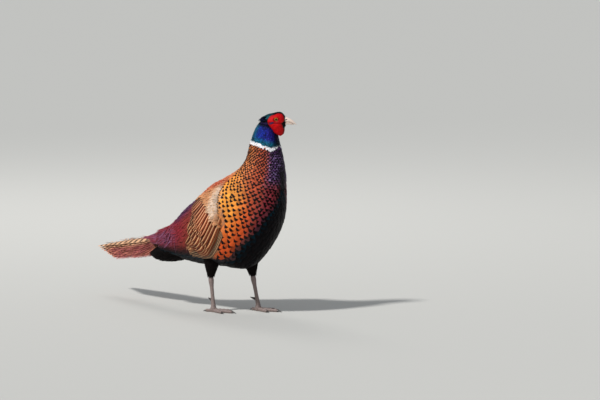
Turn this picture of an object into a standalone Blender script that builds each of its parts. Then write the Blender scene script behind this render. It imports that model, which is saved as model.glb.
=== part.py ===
"""A cock common pheasant, life size, standing alert with its head up.

The bird faces +X, its left side is +Y and +Z is up, all in metres. Trunk, neck and head are lofted
along one bent axis, joined into one body of flesh, and parted again by thin plane cuts once the
bill, face, eyes, thighs, wings and tail have each been given a seat in it.
"""

import math

import bmesh
import bpy
from mathutils import Matrix, Vector

# Clearance between two pieces that touch
GAP = 0.0003
# The bird's left is +Y
SIDES = {"left": 1, "right": -1}

# Trunk and neck from the base of the skull to the root of the tail, one row for each station:
# middle x, middle z, half depth forwards, half depth downwards, half width
TRUNK_STATIONS = (
    (0.0570, 0.4080, 0.0180, 0.0040, 0.0140),  # base of the skull
    (0.0538, 0.3892, 0.0258, 0.0065, 0.0205),  # throat
    (0.0522, 0.3591, 0.0345, 0.0086, 0.0285),  # white collar
    (0.0505, 0.3220, 0.0425, 0.0100, 0.0380),  # base of the neck
    (0.0400, 0.2900, 0.0540, 0.0160, 0.0500),  # shoulders
    (0.0149, 0.2440, 0.0735, 0.0350, 0.0690),  # upper breast
    (-0.0165, 0.2010, 0.0805, 0.0480, 0.0760),  # breast
    (-0.0633, 0.1576, 0.0780, 0.0582, 0.0700),  # belly
    (-0.1035, 0.1450, 0.0620, 0.0470, 0.0540),  # loin
    (-0.1530, 0.1385, 0.0335, 0.0370, 0.0350),  # rump
    (-0.2150, 0.1395, 0.0080, 0.0210, 0.0175),  # root of the tail
)
BACK_NARROWING = 0.08
TRUNK_RINGS = 28
TRUNK_SPOKES = 26
# Soft undertail coverts below the tail root: x, y, z, half width, half height
UNDERTAIL_SPOKES = 16
UNDERTAIL_ROWS = (
    (-0.1500, 0.0000, 0.1250, 0.0240, 0.0190),
    (-0.1850, 0.0000, 0.1190, 0.0210, 0.0190),
    (-0.2150, 0.0045, 0.1140, 0.0165, 0.0140),
    (-0.2380, 0.0130, 0.1120, 0.0090, 0.0075),
    (-0.2520, 0.0200, 0.1120, 0.0025, 0.0020),
)

# Planes that part the flesh: a point on each, and the direction that it faces
THROAT_CUT = (Vector((0.0530, 0, 0.3880)), Vector((-0.24, 0, 1)).normalized())
NECK_CUT = (Vector((0.0470, 0, 0.3060)), Vector((0.20, 0, 1)).normalized())
LOIN_CUT = (Vector((-0.1180, 0, 0.1450)), Vector((1, 0, -0.10)).normalized())

# Head, in its own frame: +X to the bill, origin at the middle of the skull
HEAD_AT = Vector((0.0642, 0.0047, 0.4156))
HEAD_TURN = math.radians(24)
HEAD_LIFT = math.radians(4)
# Rows along the head: x, middle z, half height, half width
HEAD_STATIONS = (
    (-0.0250, -0.0025, 0.0035, 0.0035),
    (-0.0200, -0.0025, 0.0092, 0.0095),
    (-0.0090, -0.0028, 0.0158, 0.0150),
    (0.0040, -0.0033, 0.0187, 0.0168),
    (0.0150, -0.0040, 0.0210, 0.0155),
    (0.0230, -0.0030, 0.0180, 0.0115),
    (0.0295, -0.0028, 0.0095, 0.0064),
)
HEAD_RINGS = 12
HEAD_SPOKES = 18

# Bare red face: one puffed flap on each side, lobed above the eye and hanging below the jaw
FACE_CENTRE = (0.0105, -0.0050)
FACE_REACH = (  # bearing in degrees from the bill, up positive, and reach
    (0, 0.0138), (12, 0.0179), (34, 0.0201), (52, 0.0224), (67, 0.0216), (99, 0.0175), (129, 0.0191),
    (165, 0.0189), (197, 0.0155), (239, 0.0179), (268, 0.0236), (284, 0.0294), (294, 0.0288),
    (309, 0.0231), (327, 0.0162), (350, 0.0115), (360, 0.0138),
)
# The flap follows the skull at this height over it, and the ellipsoid of the hanging lobe: middle
# x and z, half sizes in x and z, bulge. The least share keeps both from closing at their rims
FACE_OVER_SKULL = 0.0012
FACE_DOME = (0.0120, -0.0150, 0.0200, 0.0300, 0.0175)
FACE_LEAST = 0.05
FACE_THICK = 0.0050
FACE_RIM = 0.0004
FACE_BULB_PITCH = 0.0064
FACE_BULB_RISE = 0.0007
FACE_CREASE = 0.0012
FACE_RINGS = 8
FACE_SPOKES = 28
# The flap's plain inner side keeps one ring in so many
FACE_INNER_STRIDE = 3

EYE_CENTRE = (0.0118, 0.0142, 0.0030)
EYE_RADIUS = 0.0056
# The ball that opens the lids: how far out its middle lies, and its radius
LID_OPENING = (0.0205, 0.0044)
LID_RADIUS = 0.0052
LID_THICK = 0.0010

# Bill rows, in the head frame: x, top z, bottom z, half width
UPPER_BILL_ROWS = (
    (0.0245, 0.0045, -0.0066, 0.0068),
    (0.0290, 0.0052, -0.0058, 0.0062),
    (0.0365, 0.0028, -0.0062, 0.0050),
    (0.0430, -0.0013, -0.0082, 0.0038),
    (0.0485, -0.0064, -0.0107, 0.0024),
    (0.0522, -0.0120, -0.0132, 0.0008),
)
LOWER_BILL_ROWS = (
    (0.0245, -0.0070, -0.0114, 0.0060),
    (0.0300, -0.0062, -0.0110, 0.0054),
    (0.0365, -0.0066, -0.0106, 0.0042),
    (0.0420, -0.0084, -0.0114, 0.0028),
    (0.0455, -0.0104, -0.0122, 0.0012),
)
BILL_RINGS = 10
BILL_SPOKES = 12
NOSTRIL_AT = (0.0318, 0.0060, 0.0000)
NOSTRIL_SIZE = (0.0030, 0.0016, 0.0011)

# Ear tufts: locks that start behind the eye and lie back over the nape, in the head frame
TUFT_LOCKS = 4
TUFT_ROOT = Vector((-0.0105, 0.0100, 0.0062))
TUFT_TIP = Vector((-0.0272, 0.0130, 0.0026))
TUFT_WIDTH = 0.0060
TUFT_FAN_ROOT = 0.0060
TUFT_FAN_TIP = 0.0080
TUFT_BOW = 0.0022
TUFT_SPLAY = 0.0010
TUFT_CAMBER = 0.12

# Feathers that are built one by one
VANE_THICK = 0.0005
LOCK_STEPS = 3
WING_STEPS = 4
TAIL_STEPS = 6

# Tiers of each wing's feathers: name, count, the roots of the lowest and of the highest one and then
# their tips, each as (station, degrees from the back), height over the trunk at root and at tip,
# widest width, and roll in degrees
WING_TIERS = (
    ("primaries", 6, (6.45, 96), (6.80, 82), (7.90, 125), (8.60, 113), 0.0016, 0.0026, 0.0140, 9),
    ("secondaries", 6, (6.35, 86), (6.35, 60), (7.70, 115), (7.95, 84), 0.0026, 0.0044, 0.0180, 8),
    ("tertials", 4, (5.95, 66), (5.85, 44), (7.65, 98), (7.50, 70), 0.0034, 0.0064, 0.0220, 6),
    ("coverts", 5, (6.00, 76), (5.70, 44), (7.00, 102), (6.75, 62), 0.0042, 0.0078, 0.0200, 7),
    ("scapulars", 4, (5.45, 58), (5.15, 36), (6.60, 78), (6.35, 46), 0.0048, 0.0104, 0.0210, 5),
)
# Low pad of small coverts that the tiers are rooted in: middle station and degrees, half length
# in stations, half breadth in degrees, and how far it leans back for each degree downwards
WING_PAD = (6.05, 62.0, 0.85, 38.0)
WING_PAD_LEAN = 0.026
WING_PAD_RISE = 0.0062
WING_PAD_SINK = 0.0030
WING_PAD_RIM = 0.0006
WING_PAD_RINGS = 4
WING_PAD_SPOKES = 20

TAIL_BEND = math.radians(28)
TAIL_DROP = math.radians(8)
TAIL_START = Vector((-0.1990, 0.0, 0.1460))
TAIL_PAIRS = 7
TAIL_ROOT = 0.030
TAIL_LENGTHS = (0.277, 0.190)
TAIL_WIDTHS = (0.0225, 0.0175)
TAIL_ROLLS = (26, 60)
TAIL_HEIGHTS = (0.0090, -0.0090)
TAIL_DIPS = (0.0, 3.0)
TAIL_SPREADS = (0.0, 4.0)
TAIL_SAG = 0.010
TAIL_CROWD = 1.25
TAIL_MIDDLE_GAP = 0.0004
TAIL_CAMBER = 0.05
# The tail coverts' body: length, how deep it sinks in the rump, how high its start sits over the
# tail's line, half width and half height at its start, and the share of each lost by its end
TAIL_PLUG_LENGTH = 0.085
TAIL_PLUG_SINK = 0.010
TAIL_PLUG_RAISE = 0.004
TAIL_PLUG_HALVES = (0.0165, 0.0175)
TAIL_PLUG_TAPERS = (0.45, 0.60)
TAIL_PLUG_SPOKES = 16

LEG_SIDE = 0.032
THIGH_TOP = 0.148
THIGH_BACK = 0.012
THIGH_RADII = (0.0180, 0.0185, 0.0162, 0.0118, 0.0078, 0.0062)
ANKLE_HEIGHT = 0.074
ANKLE_X = {"left": 0.0010, "right": -0.0660}
SHANK_RADII = (0.0056, 0.0058, 0.0042, 0.0038, 0.0046, 0.0052)
FOOT_X = {"left": 0.0140, "right": -0.0600}
FOOT_TOP = 0.0125
SOLE_ROWS = ((FOOT_TOP, 0.0052), (0.0090, 0.0066), (0.0040, 0.0070), (-0.0010, 0.0058))
# Toes: name, bearing from straight ahead towards the outside, length, radius at root and at tip
TOES = (
    ("inner", -27, 0.0330, 0.0040, 0.0030),
    ("middle", 2, 0.0460, 0.0043, 0.0030),
    ("outer", 30, 0.0350, 0.0039, 0.0029),
    ("hind", 170, 0.0150, 0.0034, 0.0028),
)
TOE_START = 0.0020
TOE_JOINT_SWELL = 0.0005
# Height of a toe's middle as a share of its radius, so that the floor cuts it flat
TOE_HEIGHT = 0.82
CLAW_LENGTHS = {"inner": 0.0095, "middle": 0.0110, "outer": 0.0090, "hind": 0.0075}
# A claw's thickness at its root as a share of the toe's, the share lost by its tip, how late it
# bends down, and how far its tip stays clear of the floor
CLAW_ROOT = 0.72
CLAW_TAPER = 0.82
CLAW_BEND = 1.6
CLAW_CLEAR = 0.0004
SPUR_PLACE = 0.66
SPUR_REACH = (-0.0135, 0.0040, 0.0030)
SPUR_RADII = (0.0030, 0.0020, 0.0006)


def clear_scene():
    for obj in list(bpy.data.objects):
        bpy.data.objects.remove(obj)


def material(name, hex_colour, roughness):
    """A Principled material from an sRGB hex colour."""
    made = bpy.data.materials.new(name)
    made.use_nodes = True
    shader = made.node_tree.nodes["Principled BSDF"]
    parts = [int(hex_colour[i : i + 2], 16) / 255 for i in (1, 3, 5)]
    linear = [p / 12.92 if p <= 0.04045 else ((p + 0.055) / 1.055) ** 2.4 for p in parts]
    shader.inputs["Base Color"].default_value = (*linear, 1.0)
    shader.inputs["Roughness"].default_value = roughness
    shader.inputs["Metallic"].default_value = 0.0
    return made


def between(ends, share):
    """The value at a share of the way between two ends."""
    return ends[0] + (ends[1] - ends[0]) * share


def turns(count):
    """Evenly spaced angles round a circle."""
    return [2 * math.pi * k / count for k in range(count)]


def smooth_value(rows, place):
    """The rows' numbers at a fractional row index, on a smooth curve through every row."""
    last = len(rows) - 1
    i = max(0, min(int(place), last - 1))
    f = place - i
    four = [rows[max(0, min(last, i + k))] for k in (-1, 0, 1, 2)]
    return [
        b + 0.5 * f * (c - a + f * (2 * a - 5 * b + 4 * c - d + f * (3 * b - a - 3 * c + d)))
        for a, b, c, d in zip(*four)
    ]


def object_from(name, shape, group):
    """A new object of a bmesh, with its faces turned outwards."""
    bmesh.ops.recalc_face_normals(shape, faces=shape.faces)
    mesh = bpy.data.meshes.new(name)
    shape.to_mesh(mesh)
    shape.free()
    obj = bpy.data.objects.new(name, mesh)
    group.objects.link(obj)
    return obj


def loft(name, rings, group, thin=False):
    """A closed body through rings of equal point counts, each quad split along the same diagonal.

    In a thin one the second half of each ring lies under the first half, and is split like it.
    """
    shape = bmesh.new()
    loops = [[shape.verts.new(point) for point in ring] for ring in rings]
    count = len(loops[0])
    for first, second in zip(loops, loops[1:]):
        for i in range(count):
            j = (i + 1) % count
            if thin and i >= count // 2:
                shape.faces.new((first[i], first[j], second[i]))
                shape.faces.new((first[j], second[j], second[i]))
            else:
                shape.faces.new((first[i], first[j], second[j]))
                shape.faces.new((first[i], second[j], second[i]))
    for loop in (loops[0], loops[-1]):
        middle = shape.verts.new(sum((vert.co for vert in loop), Vector()) / count)
        for i in range(count):
            shape.faces.new((loop[i], loop[(i + 1) % count], middle))
    return object_from(name, shape, group)


def rod(name, points, radii, spokes, group):
    """A round bar whose rings are square to its run."""
    rings = []
    for i, (point, radius) in enumerate(zip(points, radii)):
        ahead = (points[min(i + 1, len(points) - 1)] - points[max(i - 1, 0)]).normalized()
        side = ahead.cross(Vector((0, 0, 1))).normalized()
        up = side.cross(ahead)
        rings.append([
            point + radius * (math.cos(a) * side + math.sin(a) * up) for a in turns(spokes)
        ])
    return loft(name, rings, group)


def limb(name, points, radii, spokes, group):
    """An upright bar of level rings, whose ends are cut level."""
    rings = [
        [point + radius * Vector((math.cos(a), math.sin(a), 0)) for a in turns(spokes)]
        for point, radius in zip(points, radii)
    ]
    return loft(name, rings, group)


def ball(name, centre, sizes, segments, rings, group):
    """An ellipsoid with its poles left and right, of half sizes along X, Y and Z."""
    shape = bmesh.new()
    bmesh.ops.create_uvsphere(shape, u_segments=segments, v_segments=rings, radius=1)
    obj = object_from(name, shape, group)
    stretch = Matrix.Diagonal((*sizes, 1))
    obj.data.transform(Matrix.Translation(centre) @ stretch @ Matrix.Rotation(math.pi / 2, 4, "X"))
    return obj


def vane(name, spine, across, normals, widths, camber, group):
    """A flat feather along a spine, thinning to its tip. Camber makes it a low roof in section."""
    rings = []
    for i, (middle, side, normal, width) in enumerate(zip(spine, across, normals, widths)):
        half = VANE_THICK / 2 * (1 - 0.4 * (i / (len(spine) - 1)) ** 3)
        left = middle - side * width / 2 - normal * camber * width
        right = middle + side * width / 2 - normal * camber * width
        line = (left, middle, right) if camber else (left, right)
        face = [point + normal * half for point in line]
        back = [point - normal * half for point in line[::-1]]
        rings.append(face + back)
    return loft(name, rings, group, thin=True)


def apply_modifiers(obj):
    graph = bpy.context.evaluated_depsgraph_get()
    mesh = bpy.data.meshes.new_from_object(obj.evaluated_get(graph))
    obj.modifiers.clear()
    obj.data = mesh


def shell_volume(shell):
    """The volume inside a closed set of vertices' faces."""
    total = 0.0
    for face in {face for vert in shell for face in vert.link_faces}:
        first = face.verts[0].co
        for second, third in zip(face.verts[1:], face.verts[2:]):
            total += first.dot(second.co.cross(third.co))
    return abs(total)


def keep_largest(obj):
    """Drops all but the closed surface that holds the most."""
    shape = bmesh.new()
    shape.from_mesh(obj.data)
    left = set(shape.verts)
    shells = []
    while left:
        stack = [left.pop()]
        shell = set(stack)
        while stack:
            for edge in stack.pop().link_edges:
                fresh = [vert for vert in edge.verts if vert in left]
                left.difference_update(fresh)
                shell.update(fresh)
                stack.extend(fresh)
        shells.append(shell)
    if len(shells) > 1:
        largest = max(shells, key=shell_volume)
        loose = [vert for vert in shape.verts if vert not in largest]
        bmesh.ops.delete(shape, geom=loose, context="VERTS")
        shape.to_mesh(obj.data)
    shape.free()


def unite(obj, pieces, solver="EXACT"):
    """Joins closed pieces to obj with one Boolean on their collection, and removes them."""
    group = bpy.data.collections.new(obj.name + "_pieces")
    bpy.context.scene.collection.children.link(group)
    for piece in pieces:
        for old in list(piece.users_collection):
            old.objects.unlink(piece)
        group.objects.link(piece)
    join = obj.modifiers.new("join", "BOOLEAN")
    join.operation = "UNION"
    join.solver = solver
    join.operand_type = "COLLECTION"
    join.collection = group
    apply_modifiers(obj)
    for piece in pieces:
        bpy.data.objects.remove(piece)
    bpy.data.collections.remove(group)
    keep_largest(obj)


def as_cutter(obj):
    obj.hide_render = True
    obj.display_type = "WIRE"
    return obj


def seat_of(obj, cutters):
    """A cutter the shape of obj, larger all round by the clearance."""
    seat = bpy.data.objects.new(obj.name + "_seat", obj.data.copy())
    cutters.objects.link(seat)
    normals = [vert.normal.copy() for vert in seat.data.vertices]
    for vert, normal in zip(seat.data.vertices, normals):
        vert.co += normal * GAP
    return as_cutter(seat)


def cut_away(obj, tools, solver="EXACT"):
    """Cuts each tool from obj."""
    for tool in tools:
        cut = obj.modifiers.new("seat", "BOOLEAN")
        cut.operation = "DIFFERENCE"
        cut.solver = solver
        cut.object = tool
        apply_modifiers(obj)
    keep_largest(obj)


def kept_beyond(obj, name, planes, group):
    """A copy of obj beyond each plane (point, direction), short of it by half the clearance."""
    shape = bmesh.new()
    shape.from_mesh(obj.data)
    for point, direction in planes:
        cut = bmesh.ops.bisect_plane(
            shape,
            geom=shape.verts[:] + shape.edges[:] + shape.faces[:],
            plane_co=point + direction * GAP / 2,
            plane_no=direction,
            clear_inner=True,
        )
        rim = [item for item in cut["geom_cut"] if isinstance(item, bmesh.types.BMEdge)]
        bmesh.ops.holes_fill(shape, edges=rim, sides=0)
    bmesh.ops.triangulate(shape, faces=shape.faces[:])
    piece = object_from(name, shape, group)
    keep_largest(piece)
    return piece


def trunk_point(place, angle, side=-1):
    """A point on the trunk: station index, angle from the back down, on the right side or the left."""
    x, z, ahead, down, width = smooth_value(TRUNK_STATIONS, place)
    narrowed = width * (1 - BACK_NARROWING * math.cos(angle))
    return Vector((
        x - ahead * math.cos(angle),
        side * narrowed * math.sin(angle),
        z + down * math.cos(angle),
    ))


def trunk_normal(place, angle, side=-1):
    """The outward normal of the trunk there."""
    step = 0.02
    along = trunk_point(place + step, angle, side) - trunk_point(place - step, angle, side)
    around = trunk_point(place, angle + step, side) - trunk_point(place, angle - step, side)
    return (around.cross(along) * side).normalized()


def head_place():
    turn = Matrix.Rotation(HEAD_TURN, 4, "Z")
    lift = Matrix.Rotation(-HEAD_LIFT, 4, "Y")
    return Matrix.Translation(HEAD_AT) @ turn @ lift


def make_flesh(group):
    """Trunk, neck, head and undertail coverts as one body."""
    last = len(TRUNK_STATIONS) - 1
    places = [last * i / TRUNK_RINGS for i in range(TRUNK_RINGS + 1)]
    rings = [[trunk_point(place, a) for a in turns(TRUNK_SPOKES)] for place in places]
    flesh = loft("flesh", rings, group)
    rings = []
    for i in range(HEAD_RINGS + 1):
        x, z, height, width = smooth_value(HEAD_STATIONS, (len(HEAD_STATIONS) - 1) * i / HEAD_RINGS)
        rings.append([
            Vector((x, width * math.sin(a), z + height * math.cos(a))) for a in turns(HEAD_SPOKES)
        ])
    skull = loft("skull", rings, group)
    skull.data.transform(head_place())
    rings = []
    for x, y, z, width, height in UNDERTAIL_ROWS:
        rings.append([
            Vector((x, y + width * math.sin(a), z + height * math.cos(a)))
            for a in turns(UNDERTAIL_SPOKES)
        ])
    undertail = loft("undertail", rings, group)
    unite(flesh, [skull, undertail])
    return flesh


def make_bill_half(name, rows, group):
    """One half of the bill, a cone bent down to its tip."""
    rings = []
    for i in range(BILL_RINGS + 1):
        x, top, bottom, width = smooth_value(rows, (len(rows) - 1) * i / BILL_RINGS)
        middle, half = (top + bottom) / 2, (top - bottom) / 2
        rings.append([
            Vector((x, width * math.sin(a), middle + half * math.cos(a))) for a in turns(BILL_SPOKES)
        ])
    return loft(name, rings, group)


def make_bill(group, cutters):
    """Upper and lower bill, parted along the line of the mouth, with a nostril on each side."""
    upper = make_bill_half("bill_upper", UPPER_BILL_ROWS, group)
    lower = make_bill_half("bill_lower", LOWER_BILL_ROWS, group)
    x, y, z = NOSTRIL_AT
    nostrils = [
        as_cutter(ball("nostril", (x, sign * y, z), NOSTRIL_SIZE, 10, 6, cutters))
        for sign in SIDES.values()
    ]
    cut_away(upper, nostrils)
    cut_away(lower, [seat_of(upper, cutters)])
    for half in (upper, lower):
        half.data.transform(head_place())
    return upper, lower


def face_reach(bearing):
    """How far the red face reaches from its middle in one direction."""
    degrees = math.degrees(bearing) % 360
    for (start, first), (end, second) in zip(FACE_REACH, FACE_REACH[1:]):
        if start <= degrees <= end:
            ease = (1 - math.cos(math.pi * (degrees - start) / (end - start))) / 2
            return between((first, second), ease)


def skull_width(x, z):
    """Half the width of the skull at a height."""
    after = next((i for i, row in enumerate(HEAD_STATIONS) if row[0] >= x), len(HEAD_STATIONS) - 1)
    before, behind = HEAD_STATIONS[max(after - 1, 0)], HEAD_STATIONS[max(after, 1)]
    share = (x - before[0]) / (behind[0] - before[0])
    _, middle, half, width = (between(pair, share) for pair in zip(before, behind))
    return width * math.sqrt(max(FACE_LEAST, 1 - ((z - middle) / half) ** 2))


def face_depth(x, z):
    """How far the face stands out from the middle plane of the head: the skull and the lobe, blended."""
    middle_x, middle_z, size_x, size_z, bulge = FACE_DOME
    inside = 1 - ((x - middle_x) / size_x) ** 2 - ((z - middle_z) / size_z) ** 2
    lobe = bulge * math.sqrt(max(FACE_LEAST, inside))
    return ((skull_width(x, z) + FACE_OVER_SKULL) ** 4 + lobe ** 4) ** 0.25


def face_relief(x, z):
    """Bulbs of the bare skin, and the crease between the eye lobe and the hanging lobe."""
    wave = 2 * math.pi / FACE_BULB_PITCH
    bulbs = FACE_BULB_RISE * math.sin(x * wave) * math.sin((z + 0.4 * x) * wave)
    crease = FACE_CREASE * math.exp(-(((z + 0.0075 - 0.15 * x) / 0.0018) ** 2))
    return bulbs - crease


def make_face(side, group):
    """One flap of bare red skin with bulbs, crease, rounded rim and the ring of lids."""
    sign = SIDES[side]
    outer, inner = [], []
    for i in range(1, FACE_RINGS + 1):
        share = i / FACE_RINGS
        half = FACE_THICK / 2 * math.sqrt(1 - share ** 3) + FACE_RIM / 2
        ring_out, ring_in = [], []
        for bearing in turns(FACE_SPOKES):
            reach = face_reach(bearing) * share
            x = FACE_CENTRE[0] + reach * math.cos(bearing)
            z = FACE_CENTRE[1] + reach * math.sin(bearing)
            middle = face_depth(x, z) - 0.0010
            relief = face_relief(x, z) * (1 - share ** 4)
            ring_out.append(Vector((x, sign * (middle + half + relief), z)))
            ring_in.append(Vector((x, sign * (middle - half), z)))
        outer.append(ring_out)
        inner.append(ring_in)
    face = loft("face_" + side, outer + inner[::-FACE_INNER_STRIDE], group)
    bpy.ops.mesh.primitive_torus_add(
        major_radius=LID_RADIUS, minor_radius=LID_THICK, major_segments=18, minor_segments=6
    )
    lids = bpy.context.object
    x, _, z = EYE_CENTRE
    at = Matrix.Translation((x, sign * (face_depth(x, z) + 0.0008), z))
    lids.data.transform(at @ Matrix.Rotation(math.pi / 2, 4, "X"))
    unite(face, [lids])
    return face


def make_eye(side, group):
    centre = (EYE_CENTRE[0], SIDES[side] * EYE_CENTRE[1], EYE_CENTRE[2])
    return ball("eye_" + side, centre, (EYE_RADIUS,) * 3, 14, 8, group)


def make_lid_opening(side, cutters):
    """The cutter of the slit between the lids, where the eyeball shows."""
    out, radius = LID_OPENING
    centre = (EYE_CENTRE[0], SIDES[side] * out, EYE_CENTRE[2])
    return as_cutter(ball("lid_opening", centre, (radius,) * 3, 14, 8, cutters))


def make_tuft(side, group):
    """The locks of one ear tuft, fanned from one root."""
    sign = SIDES[side]
    locks = []
    for i in range(TUFT_LOCKS):
        lean = i / (TUFT_LOCKS - 1) - 0.5
        root = Vector((TUFT_ROOT.x, sign * TUFT_ROOT.y, TUFT_ROOT.z + TUFT_FAN_ROOT * lean))
        out = TUFT_TIP.y + TUFT_SPLAY * i
        tip = Vector((TUFT_TIP.x, sign * out, TUFT_TIP.z + TUFT_FAN_TIP * lean))
        shares = [k / LOCK_STEPS for k in range(LOCK_STEPS + 1)]
        bow = Vector((0, sign * TUFT_BOW, TUFT_BOW / 2))
        locks.append(vane(
            "lock",
            spine=[root.lerp(tip, share) + bow * math.sin(math.pi * share) for share in shares],
            across=[Vector((0.15, 0, 1)).normalized()] * len(shares),
            normals=[Vector((0, sign, 0))] * len(shares),
            widths=[TUFT_WIDTH * (1 - 0.8 * share ** 1.5) for share in shares],
            camber=TUFT_CAMBER,
            group=group,
        ))
    for lock in locks:
        lock.data.transform(head_place())
    return locks


def wing_feather_width(share, widest):
    """Width along a wing feather: narrow at its root, full in the middle, rounded at its tip."""
    opening = min(1.0, 0.55 + 1.6 * share)
    rounding = max(0.0, (share - 0.70) / 0.30)
    return widest * opening * max(0.22, math.sqrt(max(0.0, 1 - rounding ** 2.2)))


def wing_feather(root, tip, lifts, widest, roll, side, group):
    """A feather along the trunk's side, from root to tip as (station, degrees from the back)."""
    sign = SIDES[side]
    shares = [k / WING_STEPS for k in range(WING_STEPS + 1)]
    spine, normals = [], []
    for share in shares:
        place = between((root[0], tip[0]), share)
        angle = math.radians(between((root[1], tip[1]), share))
        normals.append(trunk_normal(place, angle, sign))
        spine.append(trunk_point(place, angle, sign) + normals[-1] * between(lifts, share))
    across = []
    for k, normal in enumerate(normals):
        ahead = (spine[min(k + 1, WING_STEPS)] - spine[max(k - 1, 0)]).normalized()
        tilt = Matrix.Rotation(-sign * math.radians(roll), 3, ahead)
        normals[k] = tilt @ normal
        across.append(ahead.cross(normals[k]).normalized())
    widths = [wing_feather_width(share, widest) for share in shares]
    return vane("feather", spine, across, normals, widths, 0.0, group)


def make_wing_pad(side, group):
    """The wing's own low swelling on the trunk, sunk into it a little."""
    sign = SIDES[side]
    place0, angle0, half_place, half_angle = WING_PAD
    outer, inner = [], []
    for i in range(1, WING_PAD_RINGS + 1):
        share = i / WING_PAD_RINGS
        swell = math.sqrt(max(0.0, 1 - share ** 2.6))
        ring_out, ring_in = [], []
        for turn in turns(WING_PAD_SPOKES):
            degrees = half_angle * share * math.sin(turn)
            place = place0 + half_place * share * math.cos(turn) + WING_PAD_LEAN * degrees
            angle = math.radians(angle0 + degrees)
            point, normal = trunk_point(place, angle, sign), trunk_normal(place, angle, sign)
            ring_out.append(point + normal * (WING_PAD_RIM + WING_PAD_RISE * swell))
            ring_in.append(point - normal * (WING_PAD_RIM + WING_PAD_SINK * swell))
        outer.append(ring_out)
        inner.append(ring_in)
    return loft("wing_" + side, outer + inner[::-1], group)


def make_wing_feathers(side, group):
    """Every tier of the folded wing, from the primaries along its lower edge up to the scapulars."""
    feathers = []
    for _, count, *ends, lift_root, lift_tip, widest, roll in WING_TIERS:
        low_root, high_root, low_tip, high_tip = ends
        for i in range(count):
            share = i / (count - 1)
            root = [between(pair, share) for pair in zip(low_root, high_root)]
            tip = [between(pair, share) for pair in zip(low_tip, high_tip)]
            lifts = (lift_root, lift_tip)
            feathers.append(wing_feather(root, tip, lifts, widest, roll, side, group))
    return feathers


def tail_frame():
    """Directions along the tail, to its left and upwards from it."""
    level = Vector((-math.cos(TAIL_BEND), math.sin(TAIL_BEND), 0))
    along = (level * math.cos(TAIL_DROP) - Vector((0, 0, math.sin(TAIL_DROP)))).normalized()
    left = along.cross(Vector((0, 0, 1))).normalized()
    return along, left, left.cross(along).normalized()


def make_tail_plug(group):
    """The short body of tail coverts that holds the roots of the long feathers."""
    along, left, up = tail_frame()
    rings = []
    for share in (0.0, 0.15, 0.35, 0.6, 0.85, 1.0):
        middle = TAIL_START + along * (TAIL_PLUG_LENGTH * share - TAIL_PLUG_SINK)
        middle += up * TAIL_PLUG_RAISE * (1 - share)
        half_width = TAIL_PLUG_HALVES[0] * (1 - TAIL_PLUG_TAPERS[0] * share ** 1.5)
        half_height = TAIL_PLUG_HALVES[1] * (1 - TAIL_PLUG_TAPERS[1] * share)
        rings.append([
            middle + left * half_width * math.cos(a) + up * half_height * math.sin(a)
            for a in turns(TAIL_PLUG_SPOKES)
        ])
    return loft("tail", rings, group)


def tail_feather_width(share, widest):
    """Width along a tail feather: full soon after its root, then narrower all the way to its tip."""
    return widest * min(1.0, 0.6 + 2.5 * share) * (1 - 0.78 * share ** 2.4)


def make_tail_feathers(group):
    """Pairs of long feathers, the middle pair on top and each next pair lower, steeper and shorter."""
    along, left, up = tail_frame()
    feathers = []
    for pair in range(TAIL_PAIRS):
        rank = pair / (TAIL_PAIRS - 1)
        length = between(TAIL_LENGTHS, 1 - (1 - rank) ** TAIL_CROWD)
        widest = between(TAIL_WIDTHS, rank)
        roll = math.radians(between(TAIL_ROLLS, rank))
        dip, spread = (math.radians(between(ends, rank)) for ends in (TAIL_DIPS, TAIL_SPREADS))
        for sign in SIDES.values():
            out = left * sign
            heading = (along + out * math.tan(spread) - up * math.tan(dip)).normalized()
            edge = TAIL_START + up * between(TAIL_HEIGHTS, rank)
            slope = (out * math.cos(roll) - up * math.sin(roll)).normalized()
            spine, widths = [], []
            for k in range(TAIL_STEPS + 1):
                share = k / TAIL_STEPS
                width = tail_feather_width(share, widest)
                sag = up * TAIL_SAG * share ** 2 * length / TAIL_LENGTHS[0]
                inner = edge + heading * (TAIL_ROOT + length * share) + out * TAIL_MIDDLE_GAP - sag
                spine.append(inner + slope * width / 2)
                widths.append(width)
            normal = (up * math.cos(roll) + out * math.sin(roll)).normalized()
            count = len(spine)
            feathers.append(vane(
                "tail_feather",
                spine,
                across=[slope * sign] * count,
                normals=[normal] * count,
                widths=widths,
                camber=TAIL_CAMBER,
                group=group,
            ))
    return feathers


def make_thigh(side, ankle, group):
    hip = Vector((0.75 * ankle.x - THIGH_BACK, 0.95 * ankle.y, THIGH_TOP))
    end = ankle + Vector((0, 0, GAP))
    points = [hip.lerp(end, share) for share in (0.0, 0.3, 0.55, 0.75, 0.9, 1.0)]
    return limb("thigh_" + side, points, THIGH_RADII, 14, group)


def make_shank(side, ankle, foot, group):
    end = foot + Vector((0, 0, FOOT_TOP + GAP))
    points = [ankle.lerp(end, share) for share in (0.0, 0.12, 0.3, 0.6, 0.88, 1.0)]
    return limb("shank_" + side, points, SHANK_RADII, 10, group)


def make_spur(side, ankle, foot, group):
    root = ankle.lerp(foot, SPUR_PLACE)
    back, inwards, up = SPUR_REACH
    tip = root + Vector((back, -SIDES[side] * inwards, up))
    points = [root.lerp(tip, share) for share in (0.0, 0.5, 1.0)]
    return rod("spur_" + side, points, SPUR_RADII, 8, group)


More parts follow.
